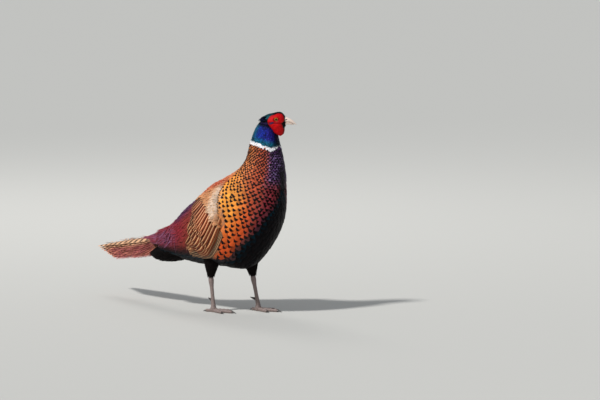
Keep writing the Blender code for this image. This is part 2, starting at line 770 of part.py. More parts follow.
def make_foot(side, foot, group):
    """The sole with its four toes, cut flat by the floor, and a claw at the end of each toe."""
    levels = [foot + Vector((0, 0, z)) for z, _ in SOLE_ROWS]
    sole = limb("sole", levels, [radius for _, radius in SOLE_ROWS], 10, group)
    toes, claws = [], []
    for toe, bearing, length, thick, thin in TOES:
        turn = math.radians(bearing) * SIDES[side]
        heading = Vector((math.cos(turn), math.sin(turn), 0))
        shares = [k / 4 for k in range(5)]
        radii = [
            between((thick, thin), share) + TOE_JOINT_SWELL * math.sin(4 * math.pi * share) ** 2
            for share in shares
        ]
        points = [
            foot + heading * (TOE_START + length * share) + Vector((0, 0, radius * TOE_HEIGHT))
            for share, radius in zip(shares, radii)
        ]
        toes.append(rod("toe", points, radii, 8, group))
        claw_points, claw_radii = [], []
        for share in (0.0, 1 / 3, 2 / 3, 1.0):
            radius = CLAW_ROOT * thin * (1 - CLAW_TAPER * share)
            height = thin * TOE_HEIGHT * (1 - share ** CLAW_BEND) + (radius + CLAW_CLEAR) * share
            reach = TOE_START + length + GAP + CLAW_LENGTHS[toe] * share
            claw_points.append(foot + heading * reach + Vector((0, 0, height)))
            claw_radii.append(radius)
        claws.append(rod("claw_" + side + "_" + toe, claw_points, claw_radii, 8, group))
    unite(sole, toes)
    floor = (Vector((0, 0, -GAP / 2)), Vector((0, 0, 1)))
    cut = kept_beyond(sole, "foot_" + side, [floor], group)
    bpy.data.objects.remove(sole)
    return cut, claws


def part_flesh(flesh, group):
    """Head, neck, torso and rump, cut from the one body of flesh."""
    def other_way(plane):
        return plane[0], -plane[1]

    head = kept_beyond(flesh, "head", [THROAT_CUT], group)
    neck = kept_beyond(flesh, "neck", [other_way(THROAT_CUT), NECK_CUT], group)
    torso = kept_beyond(flesh, "torso", [other_way(NECK_CUT), LOIN_CUT], group)
    rump = kept_beyond(flesh, "rump", [other_way(LOIN_CUT)], group)
    bpy.data.objects.remove(flesh)
    return head, neck, torso, rump


def finish_node(obj, finish, bird):
    """Gives a node its material, smooth shading and its place under the bird."""
    obj.data.materials.clear()
    obj.data.materials.append(finish)
    obj.data.shade_smooth()
    obj.data.set_sharp_from_angle(angle=math.radians(40))
    obj.parent = bird


def floor_middle(nodes):
    """The middle of the nodes' common box, at floor level."""
    points = [vert.co for obj in nodes for vert in obj.data.vertices]
    middle = [(min(p[i] for p in points) + max(p[i] for p in points)) / 2 for i in (0, 1)]
    return Vector((*middle, 0))


def main():
    clear_scene()
    parts = bpy.data.collections.new("common_pheasant")
    cutters = bpy.data.collections.new("cutters")
    for group in (parts, cutters):
        bpy.context.scene.collection.children.link(group)
    plumage = material("copper_plumage", "#9A4A1E", 0.55)
    gloss = material("blue_green_gloss", "#12306A", 0.35)
    red_skin = material("red_face_skin", "#C4121C", 0.5)
    horn = material("ivory_bill", "#D8CDB0", 0.4)
    eye_amber = material("amber_eye", "#8A4A14", 0.1)
    wing_buff = material("buff_wing", "#9C7A52", 0.6)
    tail_brown = material("barred_tail", "#A0744C", 0.6)
    thigh_dark = material("dark_thigh", "#241814", 0.7)
    leg_grey = material("grey_leg_scales", "#7C7468", 0.5)
    claw_horn = material("dark_claw", "#3A322A", 0.4)

    flesh = make_flesh(parts)
    finishes = {}
    bill = make_bill(parts, cutters)
    cut_away(flesh, [seat_of(half, cutters) for half in bill])
    finishes.update({half: horn for half in bill})

    for side in SIDES:
        face, eye = make_face(side, parts), make_eye(side, parts)
        cut_away(face, [seat_of(eye, cutters), make_lid_opening(side, cutters)])
        for piece in (face, eye):
            piece.data.transform(head_place())
        cut_away(face, [seat_of(half, cutters) for half in bill])
        cut_away(flesh, [seat_of(eye, cutters), seat_of(face, cutters)])
        finishes.update({face: red_skin, eye: eye_amber})

    for side, sign in SIDES.items():
        ankle = Vector((ANKLE_X[side], sign * LEG_SIDE, ANKLE_HEIGHT))
        foot_middle = Vector((FOOT_X[side], sign * LEG_SIDE, 0))
        thigh = make_thigh(side, ankle, parts)
        shank = make_shank(side, ankle, foot_middle, parts)
        spur = make_spur(side, ankle, foot_middle, parts)
        foot, claws = make_foot(side, foot_middle, parts)
        cut_away(flesh, [seat_of(thigh, cutters)])
        cut_away(spur, [seat_of(shank, cutters)])
        finishes.update({thigh: thigh_dark, shank: leg_grey, foot: leg_grey, spur: claw_horn})
        finishes.update({claw: claw_horn for claw in claws})

    for side in SIDES:
        wing = make_wing_pad(side, parts)
        cut_away(flesh, [seat_of(wing, cutters)])
        unite(wing, make_wing_feathers(side, parts), "MANIFOLD")
        finishes[wing] = wing_buff

    tail = make_tail_plug(parts)
    cut_away(flesh, [seat_of(tail, cutters)])
    unite(tail, make_tail_feathers(parts), "MANIFOLD")
    finishes[tail] = tail_brown

    head, neck, torso, rump = part_flesh(flesh, parts)
    unite(head, make_tuft("left", parts) + make_tuft("right", parts), "MANIFOLD")
    finishes.update({head: gloss, neck: gloss, torso: plumage, rump: plumage})

    bird = bpy.data.objects.new("bird", None)
    parts.objects.link(bird)
    bird.location = -floor_middle(finishes)
    for obj, finish in finishes.items():
        finish_node(obj, finish, bird)


main()
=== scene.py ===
# %% [markdown]
# # A cock common pheasant, life size
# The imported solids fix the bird's pose, its sizes and its weight. This lesson dresses them. One skin
# replaces the solid flesh, and feathers, bare skin, horn and scales are modelled over it piece by piece.
# Everything is worked out in the bird's own frame, in metres: +X ahead, +Y to its left, +Z up.

# %% Load the fixed frame
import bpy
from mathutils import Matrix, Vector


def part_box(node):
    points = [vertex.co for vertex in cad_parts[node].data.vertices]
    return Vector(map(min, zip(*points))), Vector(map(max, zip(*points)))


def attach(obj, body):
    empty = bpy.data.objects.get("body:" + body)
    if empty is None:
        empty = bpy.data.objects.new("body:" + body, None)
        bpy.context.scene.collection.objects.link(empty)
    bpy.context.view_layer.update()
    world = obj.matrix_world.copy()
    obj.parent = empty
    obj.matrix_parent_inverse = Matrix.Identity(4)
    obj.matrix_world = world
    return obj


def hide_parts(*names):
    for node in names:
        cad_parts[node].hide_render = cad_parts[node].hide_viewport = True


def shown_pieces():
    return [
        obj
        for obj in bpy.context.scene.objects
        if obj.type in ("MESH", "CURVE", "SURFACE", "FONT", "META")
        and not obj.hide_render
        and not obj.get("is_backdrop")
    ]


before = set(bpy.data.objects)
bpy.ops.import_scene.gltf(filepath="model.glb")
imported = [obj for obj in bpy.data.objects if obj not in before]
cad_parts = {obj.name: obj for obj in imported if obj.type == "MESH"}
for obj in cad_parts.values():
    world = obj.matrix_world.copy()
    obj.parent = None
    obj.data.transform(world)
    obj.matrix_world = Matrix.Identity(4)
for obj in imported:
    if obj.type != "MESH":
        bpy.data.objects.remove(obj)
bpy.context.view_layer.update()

# %% Tools of the trade
import math

import bpy
import numpy as np
from mathutils import Matrix, Vector
from mathutils.kdtree import KDTree

print("Blender", bpy.app.version_string)

# %% [markdown]
# ## The body's measures
# Trunk and neck are lofted along one bent axis, from the base of the skull to the root of the tail. A
# place on them is a station number and an angle: 0 on the back, positive down the bird's left side,
# negative down its right, 180 on the belly. Feathers are laid out in those two numbers, so rows and
# columns follow the body however it bends. The rows are the same driving sizes as the solids have.

# %% Measures of trunk, head, undertail and legs
# Middle x, middle z, half depth forwards, half depth downwards, half width
TRUNK_ROWS = (
    (0.0570, 0.4080, 0.0180, 0.0040, 0.0140),
    (0.0538, 0.3892, 0.0258, 0.0065, 0.0205),
    (0.0522, 0.3591, 0.0345, 0.0086, 0.0285),
    (0.0505, 0.3220, 0.0425, 0.0100, 0.0380),
    (0.0400, 0.2900, 0.0540, 0.0160, 0.0500),
    (0.0149, 0.2440, 0.0735, 0.0350, 0.0690),
    (-0.0165, 0.2010, 0.0805, 0.0480, 0.0760),
    (-0.0633, 0.1576, 0.0780, 0.0582, 0.0700),
    (-0.1035, 0.1450, 0.0620, 0.0470, 0.0540),
    (-0.1530, 0.1385, 0.0335, 0.0370, 0.0350),
    (-0.2150, 0.1395, 0.0080, 0.0210, 0.0175),
)
BACK_NARROWING = 0.08
# Head rows from the bill back: x, middle z, half height, half width, in the head's own frame
HEAD_ROWS = (
    (0.0295, -0.0028, 0.0095, 0.0064),
    (0.0230, -0.0030, 0.0180, 0.0115),
    (0.0150, -0.0040, 0.0210, 0.0155),
    (0.0040, -0.0033, 0.0187, 0.0168),
    (-0.0090, -0.0028, 0.0158, 0.0150),
    (-0.0200, -0.0025, 0.0092, 0.0095),
    (-0.0250, -0.0025, 0.0035, 0.0035),
)
# Undertail coverts: x, y, z, half width, half height
UNDERTAIL_ROWS = (
    (-0.1500, 0.0000, 0.1250, 0.0240, 0.0190),
    (-0.1850, 0.0000, 0.1190, 0.0210, 0.0190),
    (-0.2150, 0.0045, 0.1140, 0.0165, 0.0140),
    (-0.2380, 0.0130, 0.1120, 0.0090, 0.0075),
    (-0.2520, 0.0200, 0.1120, 0.0025, 0.0020),
)
SIDES = {"left": 1, "right": -1}
HEAD_MIDDLE = Vector((0.0642, 0.0047, 0.4156))
HEAD_PLACE = (
    Matrix.Translation(HEAD_MIDDLE)
    @ Matrix.Rotation(math.radians(24), 4, "Z")
    @ Matrix.Rotation(math.radians(-4), 4, "Y")
)
EYE_MIDDLE = Vector((0.0118, 0.0142, 0.0030))
# The bird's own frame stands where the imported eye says
eye_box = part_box("eye_left")
BIRD = np.array((eye_box[0] + eye_box[1]) / 2 - HEAD_PLACE @ EYE_MIDDLE)
BIRD[2] = 0.0
print("The bird's own origin is at", BIRD.round(5))

# %% Small helpers for numbers
def unit(vectors):
    """The same directions, one long."""
    return vectors / np.maximum(np.linalg.norm(vectors, axis=-1, keepdims=True), 1e-12)


def smooth(low, high, value):
    """0 below low, 1 above high, and an even slope between."""
    share = np.clip((value - low) / (high - low), 0.0, 1.0)
    return share * share * (3 - 2 * share)


def smooth_rows(rows, place):
    """The rows' numbers at fractional row numbers, on a smooth curve through every row."""
    rows = np.asarray(rows)
    last = len(rows) - 1
    place = np.clip(place, 0, last)
    i = np.minimum(place.astype(int), last - 1)
    f = (place - i)[..., None]
    a, b, c, d = (rows[np.clip(i + k, 0, last)] for k in (-1, 0, 1, 2))
    return b + 0.5 * f * (c - a + f * (2 * a - 5 * b + 4 * c - d + f * (3 * b - a - 3 * c + d)))


def linear(code):
    """An sRGB hex colour as linear red, green and blue."""
    parts = np.array([int(code[i : i + 2], 16) / 255 for i in (1, 3, 5)])
    return np.where(parts <= 0.04045, parts / 12.92, ((parts + 0.055) / 1.055) ** 2.4)


print("Mid grey #808080 is", linear("#808080").round(3), "in linear light")

# %% Surfaces that the feathers grow on
def trunk(place, angle):
    """Points on trunk and neck."""
    x, z, ahead, down, width = np.moveaxis(smooth_rows(TRUNK_ROWS, place), -1, 0)
    cosine, sine = np.cos(np.radians(angle)), np.sin(np.radians(angle))
    return np.stack([x - ahead * cosine, width * (1 - BACK_NARROWING * cosine) * sine, z + down * cosine], -1)


def on_head(points):
    """Points of the head's own frame, set in the bird's frame."""
    place = np.array(HEAD_PLACE)
    return points @ place[:3, :3].T + place[:3, 3]


def skull(place, angle):
    """Points on the head, from the bill backwards."""
    x, z, height, width = np.moveaxis(smooth_rows(HEAD_ROWS, place), -1, 0)
    cosine, sine = np.cos(np.radians(angle)), np.sin(np.radians(angle))
    return on_head(np.stack([x, width * sine, z + height * cosine], -1))


def undertail(place, angle):
    """Points on the soft wedge under the tail."""
    x, y, z, width, height = np.moveaxis(smooth_rows(UNDERTAIL_ROWS, place), -1, 0)
    cosine, sine = np.cos(np.radians(angle)), np.sin(np.radians(angle))
    return np.stack([x + 0 * angle, y + width * sine, z + height * cosine], -1)


def with_outwards(surface, place, angle):
    """Points on a surface, with the direction straight out of it at each."""
    down = surface(place + 0.03, angle) - surface(place - 0.03, angle)
    around = surface(place, angle + 1.5) - surface(place, angle - 1.5)
    return surface(place, angle), unit(np.cross(around, down))


breast, outwards = with_outwards(trunk, np.array([5.0]), np.array([180.0]))
print("Front of the breast:", breast.round(3), "facing", outwards.round(2))

# %% [markdown]
# ## From arrays to objects
# A bird has thousands of small parts that follow rules. Particle hair is lost when a model is exported,
# so the feathers are worked out as arrays of points and turned into real meshes. One helper makes an
# object from points and faces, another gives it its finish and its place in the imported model.

# %% Helpers that make pieces
def mesh_object(name, points, faces):
    """A smooth object from points in the bird's own frame."""
    mesh = bpy.data.meshes.new(name)
    mesh.from_pydata((np.asarray(points) + BIRD).tolist(), [], [list(map(int, face)) for face in faces])
    mesh.shade_smooth()
    obj = bpy.data.objects.new(name, mesh)
    bpy.context.scene.collection.objects.link(obj)
    return obj


def dress(obj, finish, slot, *nodes):
    """Gives a piece its material, the solids it stands for and its body. The slot is not used."""
    obj.data.materials.append(finish)
    if nodes:
        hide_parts(*nodes)
    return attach(obj, "root")


def write_attribute(mesh, name, values):
    """Stores one number, vector or colour for each point."""
    values = np.asarray(values, dtype=np.float32)
    if values.ndim == 1:
        mesh.attributes.new(name, "FLOAT", "POINT").data.foreach_set("value", values)
    elif name in ("ground", "mark"):
        colours = np.concatenate([values, np.ones((len(values), 1), np.float32)], axis=1)
        mesh.attributes.new(name, "FLOAT_COLOR", "POINT").data.foreach_set("color", colours.ravel())
    else:
        mesh.attributes.new(name, "FLOAT_VECTOR", "POINT").data.foreach_set("vector", values.ravel())


def loft(rings, closed_ends=True):
    """Points and faces of a tube through rings, an array of (rings, points, 3)."""
    count, spokes = rings.shape[:2]
    index = np.arange(count * spokes).reshape(count, spokes)
    beside = np.roll(index, -1, axis=1)
    faces = np.stack([index[:-1], beside[:-1], beside[1:], index[1:]], -1).reshape(-1, 4).tolist()
    if closed_ends:
        faces += [index[0, ::-1].tolist(), index[-1].tolist()]
    return rings.reshape(-1, 3), faces


def joined(parts):
    """Several (points, faces) pairs as one."""
    points, faces, start = [], [], 0
    for own_points, own_faces in parts:
        points.append(own_points)
        faces += [[i + start for i in face] for face in own_faces]
        start += len(own_points)
    return np.concatenate(points), faces


print("Piece helpers ready")

# %% [markdown]
# ## A material from nodes
# Every finish is drawn with Blender's shader nodes, because procedural detail stays sharp at any distance.
# One function adds a node. Its settings are the node's own, and its inputs are numbers or other sockets.

# %% Helpers for materials
def add(tree, kind, inputs=None, **settings):
    """Adds one shader node with its settings, and fills or links its inputs."""
    made = tree.nodes.new("ShaderNode" + kind)
    for name, value in settings.items():
        setattr(made, name, value)
    for name, value in (inputs or {}).items():
        if isinstance(value, bpy.types.NodeSocket):
            tree.links.new(value, made.inputs[name])
        else:
            made.inputs[name].default_value = value
    return made


def rgba(code):
    """A hex colour as a socket takes it."""
    return (*linear(code), 1.0)


def band(tree, value, rise, fall=None):
    """1 between two soft edges, each given as (from, to). Without a fall it stays 1."""
    up = add(tree, "MapRange", {"Value": value, "From Min": rise[0], "From Max": rise[1]},
             interpolation_type="SMOOTHSTEP").outputs[0]
    if fall is None:
        return up
    down = add(tree, "MapRange", {"Value": value, "From Min": fall[0], "From Max": fall[1],
                                  "To Min": 1.0, "To Max": 0.0}, interpolation_type="SMOOTHSTEP").outputs[0]
    return add(tree, "Math", {0: up, 1: down}, operation="MULTIPLY").outputs[0]


def mix(tree, share, first, second):
    """Two colours mixed by a share."""
    return add(tree, "Mix", {0: share, 6: first, 7: second}, data_type="RGBA").outputs[2]


def new_material(name, **constants):
    """A Principled material with its fixed values set on the shader's own sockets."""
    made = bpy.data.materials.new(name)
    made.use_nodes = True
    tree = made.node_tree
    shader = tree.nodes["Principled BSDF"]
    for socket, value in constants.items():
        shader.inputs[socket.replace("_", " ")].default_value = value
    return made, tree, shader


print("Material helpers ready")

# %% [markdown]
# ## Studio
# The photograph looks at the bird's right side from a little ahead, through a long lens close to the
# ground. The camera stands 8 m off, so its lens has to be long too. The field covers 600 by 400 pixels at
# 2.15 mm a pixel, and the bird stands left of its middle. Large soft lamps stand in for an open sky.

# %% Camera
PIXEL = 0.00215
PHOTO_SIZE = (600, 400)
ORIGIN_PIXEL = (245, 312)
CAMERA_AZIMUTH, CAMERA_ELEVATION = math.radians(30), math.radians(6)
CAMERA_AWAY = 8.0
back = Vector((
    math.sin(CAMERA_AZIMUTH) * math.cos(CAMERA_ELEVATION),
    -math.cos(CAMERA_AZIMUTH) * math.cos(CAMERA_ELEVATION),
    math.sin(CAMERA_ELEVATION),
))
view_right = Vector((math.cos(CAMERA_AZIMUTH), math.sin(CAMERA_AZIMUTH), 0.0))
view_up = back.cross(view_right)
aim = Vector(BIRD) + view_right * (PHOTO_SIZE[0] / 2 - ORIGIN_PIXEL[0]) * PIXEL
aim += view_up * (ORIGIN_PIXEL[1] - PHOTO_SIZE[1] / 2) * PIXEL
camera = bpy.data.objects.new("camera", bpy.data.cameras.new("camera"))
camera.data.lens = camera.data.sensor_width * CAMERA_AWAY / (PHOTO_SIZE[0] * PIXEL)
camera.data.clip_end = 100.0
camera.location = aim + back * CAMERA_AWAY
camera.rotation_euler = back.to_track_quat("Z", "Y").to_euler()
bpy.context.scene.collection.objects.link(camera)
bpy.context.scene.camera = camera
print("Lens:", round(camera.data.lens, 1), "mm, aimed at", [round(v, 3) for v in aim])

# %% Floor, sky and lamps
FLOOR_HALF = 30.0
floor_points = [(x * FLOOR_HALF, y * FLOOR_HALF, 0.0) for x, y in ((-1, -1), (1, -1), (1, 1), (-1, 1))]
floor_mesh = bpy.data.meshes.new("floor")
floor_mesh.from_pydata(floor_points, [], [(0, 1, 2, 3)])
floor = bpy.data.objects.new("floor", floor_mesh)
bpy.context.scene.collection.objects.link(floor)
paper, paper_tree, paper_shader = new_material("studio_paper", Roughness=0.9)
paper_shader.inputs["Base Color"].default_value = rgba("#BEBCB6")
floor.data.materials.append(paper)
floor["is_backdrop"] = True

world = bpy.data.worlds.new("soft_sky")
world.use_nodes = True
world.node_tree.nodes["Background"].inputs["Color"].default_value = rgba("#D8E2EE")
world.node_tree.nodes["Background"].inputs["Strength"].default_value = 0.40
bpy.context.scene.world = world
bpy.context.scene.view_settings.view_transform = "Standard"

# Name, kind, where it stands from the bird, its softness (radians or metres), and its strength
LAMPS = (
    ("sun", "SUN", (-0.9, -2.2, 3.0), 0.10, 3.2),
    ("fill", "AREA", (2.6, -1.6, 0.9), 1.6, 6.0),
    ("rim", "AREA", (-1.8, 1.6, 2.4), 1.0, 26.0),
)
for name, kind, stand, softness, power in LAMPS:
    lamp = bpy.data.lights.new(name, kind)
    lamp.energy = power
    if kind == "SUN":
        lamp.angle = softness
    else:
        lamp.size = softness
    holder = bpy.data.objects.new(name, lamp)
    holder.location = Vector(BIRD) + Vector(stand)
    middle = Vector(BIRD) + Vector((0.0, 0.0, 0.2))
    holder.rotation_euler = (holder.location - middle).to_track_quat("Z", "Y").to_euler()
    # Only the sun is mirrored in wet and glossy parts
    holder.visible_glossy = kind == "SUN"
    bpy.context.scene.collection.objects.link(holder)
print("Studio lit by", [row[0] for row in LAMPS])

# %% [markdown]
# ## What colour grows where
# The plumage is told in tracts. Each boundary is a short curve in trunk places: for an angle or a station it
# gives where one colour turns into the next. Skin and feathers ask the same function, so they agree.
# White collar low on the neck; coppery breast with black-edged scales and a purple bloom in front; golden
# flanks with bold black tips; black belly; chestnut mantle; grey and brown wings; crimson rump. Some tones
# are painted light: the teal and purple of the neck, the crown's teal, the cheeks' violet, the breast's purple
# bloom and the belly's green edge are painted sheen, the lilac patches painted highlights, and the near
# black down the front of the breast and the darker underside of the rump painted shade.

# %% Tracts of trunk and neck
COLOURS = {name: linear(code) for name, code in {
    "neck_blue": "#0E30A4", "neck_purple_painted_sheen": "#341E90", "neck_teal_painted_sheen": "#067A88", "neck_black": "#04070E",
    "collar_white": "#FAF8FA", "breast_copper": "#B24A2C", "breast_orange": "#D67C42",
    "breast_purple_painted_sheen": "#5C346C", "lilac_painted_highlight": "#A488BC", "breast_maroon": "#8E343C", "breast_front_painted_shade": "#140A12",
    "flank_gold": "#EE983A", "flank_orange": "#DC5220", "belly_black": "#040306", "belly_green_painted_sheen": "#03222C",
    "mantle_red": "#B44A2A", "mantle_pink": "#E2A484", "shoulder_grey": "#C89A76", "shoulder_pale": "#D8BCA4",
    "scapular_brown": "#863C1E", "scapular_buff": "#DAA276", "back_violet": "#40264A",
    "wing_brown": "#7C3A1E", "wing_cream": "#D9A878", "wing_buff": "#BE7E54", "primary_brown": "#6E5240",
    "rump_crimson": "#84202A", "rump_rust": "#842E26", "rump_purple": "#8A5A78", "rump_underside_painted_shade": "#22080C",
    "ink": "#0A0507", "undertail": "#0A0606", "thigh": "#0E0908",
    "crown_teal_painted_sheen": "#0E6A78", "cheek_violet_painted_sheen": "#6A50A0",
    "tail_buff": "#DCAA82", "tail_mauve": "#A8505C", "tail_rose": "#D4866E", "tail_bar": "#3A1A16",
}.items()}
# Stations and angles along each boundary
GOLD_TOP = ((4.4, 4.81, 5.18, 5.54, 5.89, 6.12, 6.44, 6.9, 7.81), (36, 44, 58, 70, 84, 94, 102, 108, 126))
MANTLE_EDGE = ((3.6, 4.35, 4.81, 5.35, 5.83, 6.3), (30, 38, 44, 36, 27, 14))
BELLY_EDGE = ((3.9, 4.2, 4.51, 4.9, 5.3, 5.68, 6.11, 6.55, 6.95, 8.0),
              (196, 182, 167, 154, 144, 141, 135, 131, 134, 121))
GOLD_START = ((46, 75, 104, 119, 127, 137, 145), (3.8, 4.2, 4.5, 5.0, 5.5, 6.0, 6.3))
RUMP_START = ((0, 21, 44, 56, 68, 82, 97, 124, 180), (6.0, 6.15, 6.5, 6.83, 7.24, 7.88, 8.45, 8.55, 8.6))
COLLAR = ((0, 23, 89, 137, 160, 172), (1.96, 1.98, 1.90, 1.98, 1.82, 1.74))


def blend(first, second, share):
    """Goes from the first colours to the second by a share for each feather."""
    return first + (second - first) * np.asarray(share)[..., None]


def patches(place, a):
    """Soft uneven patches, 0 to 1, a few centimetres wide."""
    return 0.5 + 0.5 * np.sin(place * 7.3 + a * 0.11) * np.sin(place * 4.1 - a * 0.17 + 1.0)


def neck_tract(place, a):
    """Blue at the sides, teal low down and at the nape, purple in front, black by the throat. The teal and the purple
    are painted sheen: the gloss's change of hue, fixed in the colour.
    """
    c = COLOURS
    ground = blend(c["neck_blue"] * np.ones_like(place)[..., None], c["neck_purple_painted_sheen"],
                   smooth(95, 135, a) * 0.5 + 0.25 * patches(place, a) * (1 - smooth(1.3, 1.7, place)))
    ground = blend(ground, c["neck_teal_painted_sheen"], np.maximum(smooth(1.30, 1.75, place), 1 - smooth(35, 80, a)) * 0.85)
    ground = blend(ground, c["neck_black"], np.maximum(1 - smooth(0.25, 0.80, place), smooth(140, 172, a)) * 0.9)
    return blend(ground, c["neck_black"], 0.45 * smooth(1.6, 1.9, place))


def breast_tract(place, a):
    """Orange at the nape, copper at the side, purple with lilac patches in front, maroon towards the belly and near
    black down the front. The purple is painted sheen, the lilac patches painted highlights, the near black painted
    shade.
    """
    c = COLOURS
    breast = blend(c["breast_orange"] * np.ones_like(place)[..., None], c["breast_copper"], smooth(50, 112, a))
    front = smooth(116, 142, a)
    low = smooth(3.7, 4.5, place)
    # Painted sheen of purple in front, with lilac painted highlights in patches
    purple = blend(c["breast_purple_painted_sheen"] * np.ones_like(place)[..., None], c["lilac_painted_highlight"],
                   patches(2 * place, 2 * a) ** 2 * smooth(2.1, 2.5, place))
    breast = blend(breast, purple, front * (1 - low))
    breast = blend(breast, c["breast_maroon"], np.maximum(front, 0.5 * smooth(108, 136, a)) * low)
    # Painted shade: near black down the front of the breast
    return blend(breast, c["breast_front_painted_shade"], smooth(150, 176, a) * smooth(2.6, 3.4, place))


def plumage_colours(place, angle):
    """Ground colour, mark colour and mark (half width, half length, middle) of feathers whose tips are there."""
    a = np.abs(angle)
    c = COLOURS
    one = np.ones_like(place)
    ground = neck_tract(place, a)
    mark = blend(ground, c["neck_black"], 0.6 * one)
    size = np.array([1.3, 0.13, 0.97]) * one[..., None]
    # Breast below the collar: every feather has a dark rim
    below = smooth(-0.02, 0.03, place - np.interp(a, *COLLAR))
    ground, mark = blend(ground, breast_tract(place, a), below), blend(mark, c["ink"], below)
    rim = blend(np.array([1.7, 0.20, 1.0]) * one[..., None], np.array([1.7, 0.17, 1.0]), smooth(2.6, 3.8, place))
    size = blend(size, rim, below)
    # Golden flanks: the rim shrinks to a spot, which grows towards the wing and flattens low down
    gold = blend(c["flank_gold"] * one[..., None], c["flank_orange"],
                 np.maximum(smooth(5.4, 6.9, place), smooth(84, 124, a)) * 0.95)
    is_gold = smooth(-0.35, 0.95, place - np.interp(a, *GOLD_START))
    ground = blend(ground, gold, is_gold)
    spot = blend(np.array([0.80, 0.125, 0.955]) * one[..., None], np.array([0.80, 0.098, 0.945]), smooth(4.6, 6.2, place))
    spot = blend(spot, np.array([1.10, 0.092, 0.97]), smooth(98, 124, a))
    size = blend(size, spot, is_gold)
    # Mantle, shoulder and lower back
    above = (1 - smooth(-3.0, 3.0, a - np.interp(place, *GOLD_TOP))) * smooth(4.2, 4.6, place)
    shoulder = blend(c["mantle_red"] * one[..., None], c["wing_buff"], smooth(-2, 12, a - np.interp(place, *MANTLE_EDGE)))
    away = (a - 56 - 19 * (place - 5.1)) / 11
    pale = np.exp(-away ** 2) * smooth(4.6, 5.1, place) * (1 - smooth(5.9, 6.5, place))
    shoulder = blend(shoulder, blend(c["shoulder_grey"] * one[..., None], c["shoulder_pale"], pale), smooth(0.05, 0.8, pale))
    ground, mark = blend(ground, shoulder, above), blend(mark, c["wing_cream"], above)
    mantle = (1 - smooth(-5.0, 5.0, a - np.interp(place, *MANTLE_EDGE))) * smooth(3.4, 4.4, place)
    red = blend(c["mantle_red"] * one[..., None], c["breast_orange"], 1 - smooth(4.0, 5.0, place))
    ground, mark = blend(ground, red, mantle), blend(mark, c["mantle_pink"], mantle)
    size = blend(size, np.array([1.3, 0.06, 1.0]), np.maximum(mantle, above))
    # Rump: violet along the back, rust by the wing, crimson behind, a lilac veil at the tail's root, and painted
    # shade darkening it low down
    rump = blend(c["rump_rust"] * one[..., None], c["rump_crimson"], smooth(0.3, 1.3, place - np.interp(a, *RUMP_START)))
    rump = blend(rump, c["back_violet"], 0.85 * (1 - smooth(24, 46, a)) * (1 - smooth(7.6, 8.6, place)))
    veil = np.exp(-(((a - 60 - 60 * (place - 8.95)) / 26) ** 2)) * smooth(8.2, 8.7, place)
    rump = blend(rump, c["rump_purple"], 0.5 * veil * patches(3 * place, 3 * a))
    rump = blend(rump, c["rump_underside_painted_shade"], smooth(78, 114, a))
    is_rump = smooth(-0.1, 0.1, place - np.interp(a, *RUMP_START))
    ground, mark = blend(ground, rump, is_rump), blend(mark, rump, is_rump)
    # Belly: black, with a green strip of painted sheen along its edge
    depth = a - np.interp(place, *BELLY_EDGE)
    belly = blend(c["belly_black"] * one[..., None], c["belly_green_painted_sheen"], 1 - smooth(4, 16, depth))
    is_belly = smooth(-8.0, 4.0, depth) * smooth(3.7, 4.1, place)
    ground, mark = blend(ground, belly, is_belly), blend(mark, c["ink"], is_belly)
    # White collar
    thick = 0.085 * (1 - smooth(140, 174, a) * 0.7)
    is_collar = 1 - smooth(thick, thick + 0.02, np.abs(place - np.interp(a, *COLLAR)))
    is_collar = is_collar * (1 - smooth(170, 176, a))
    ground, mark = blend(ground, c["collar_white"], is_collar), blend(mark, c["collar_white"], is_collar)
    return ground, mark, size


def unmarked(ground, mark=None):
    """The colours of feathers without a tip mark of their own."""
    return ground, ground if mark is None else mark, np.ones((len(ground), 3))


test = plumage_colours(np.array([1.0, 2.0, 5.4, 6.0]), np.array([-100.0, -90.0, -90.0, 180.0]))[0]
print("Neck, collar, flank and belly:", test.round(3).tolist())

# %% [markdown]
# ## Feathers
# A body feather is a thin cambered blade: rooted in the skin, lying back over the roots behind it, and
# frayed at its tip where the barbs part. Each one here is a closed lens of two sheets with a common rim.
# All feathers of a tract are computed at once. They sit in staggered rows, like tiles on a roof, so each
# tip covers the gap between two neighbours.

# %% The feather maker
def blade_faces(rows, columns):
    """Faces of one closed blade: an upper sheet and a lower sheet that share their rim."""
    upper = np.arange(rows * columns).reshape(rows, columns)
    lower = upper.copy()
    inner = (rows - 2) * (columns - 2)
    lower[1:-1, 1:-1] = rows * columns + np.arange(inner).reshape(rows - 2, columns - 2)

    def sheet(grid):
        return np.stack([grid[:-1, :-1], grid[:-1, 1:], grid[1:, 1:], grid[1:, :-1]], -1).reshape(-1, 4)

    return np.concatenate([sheet(upper)[:, ::-1], sheet(lower)])


OFBAKE_PATCH = 0.003


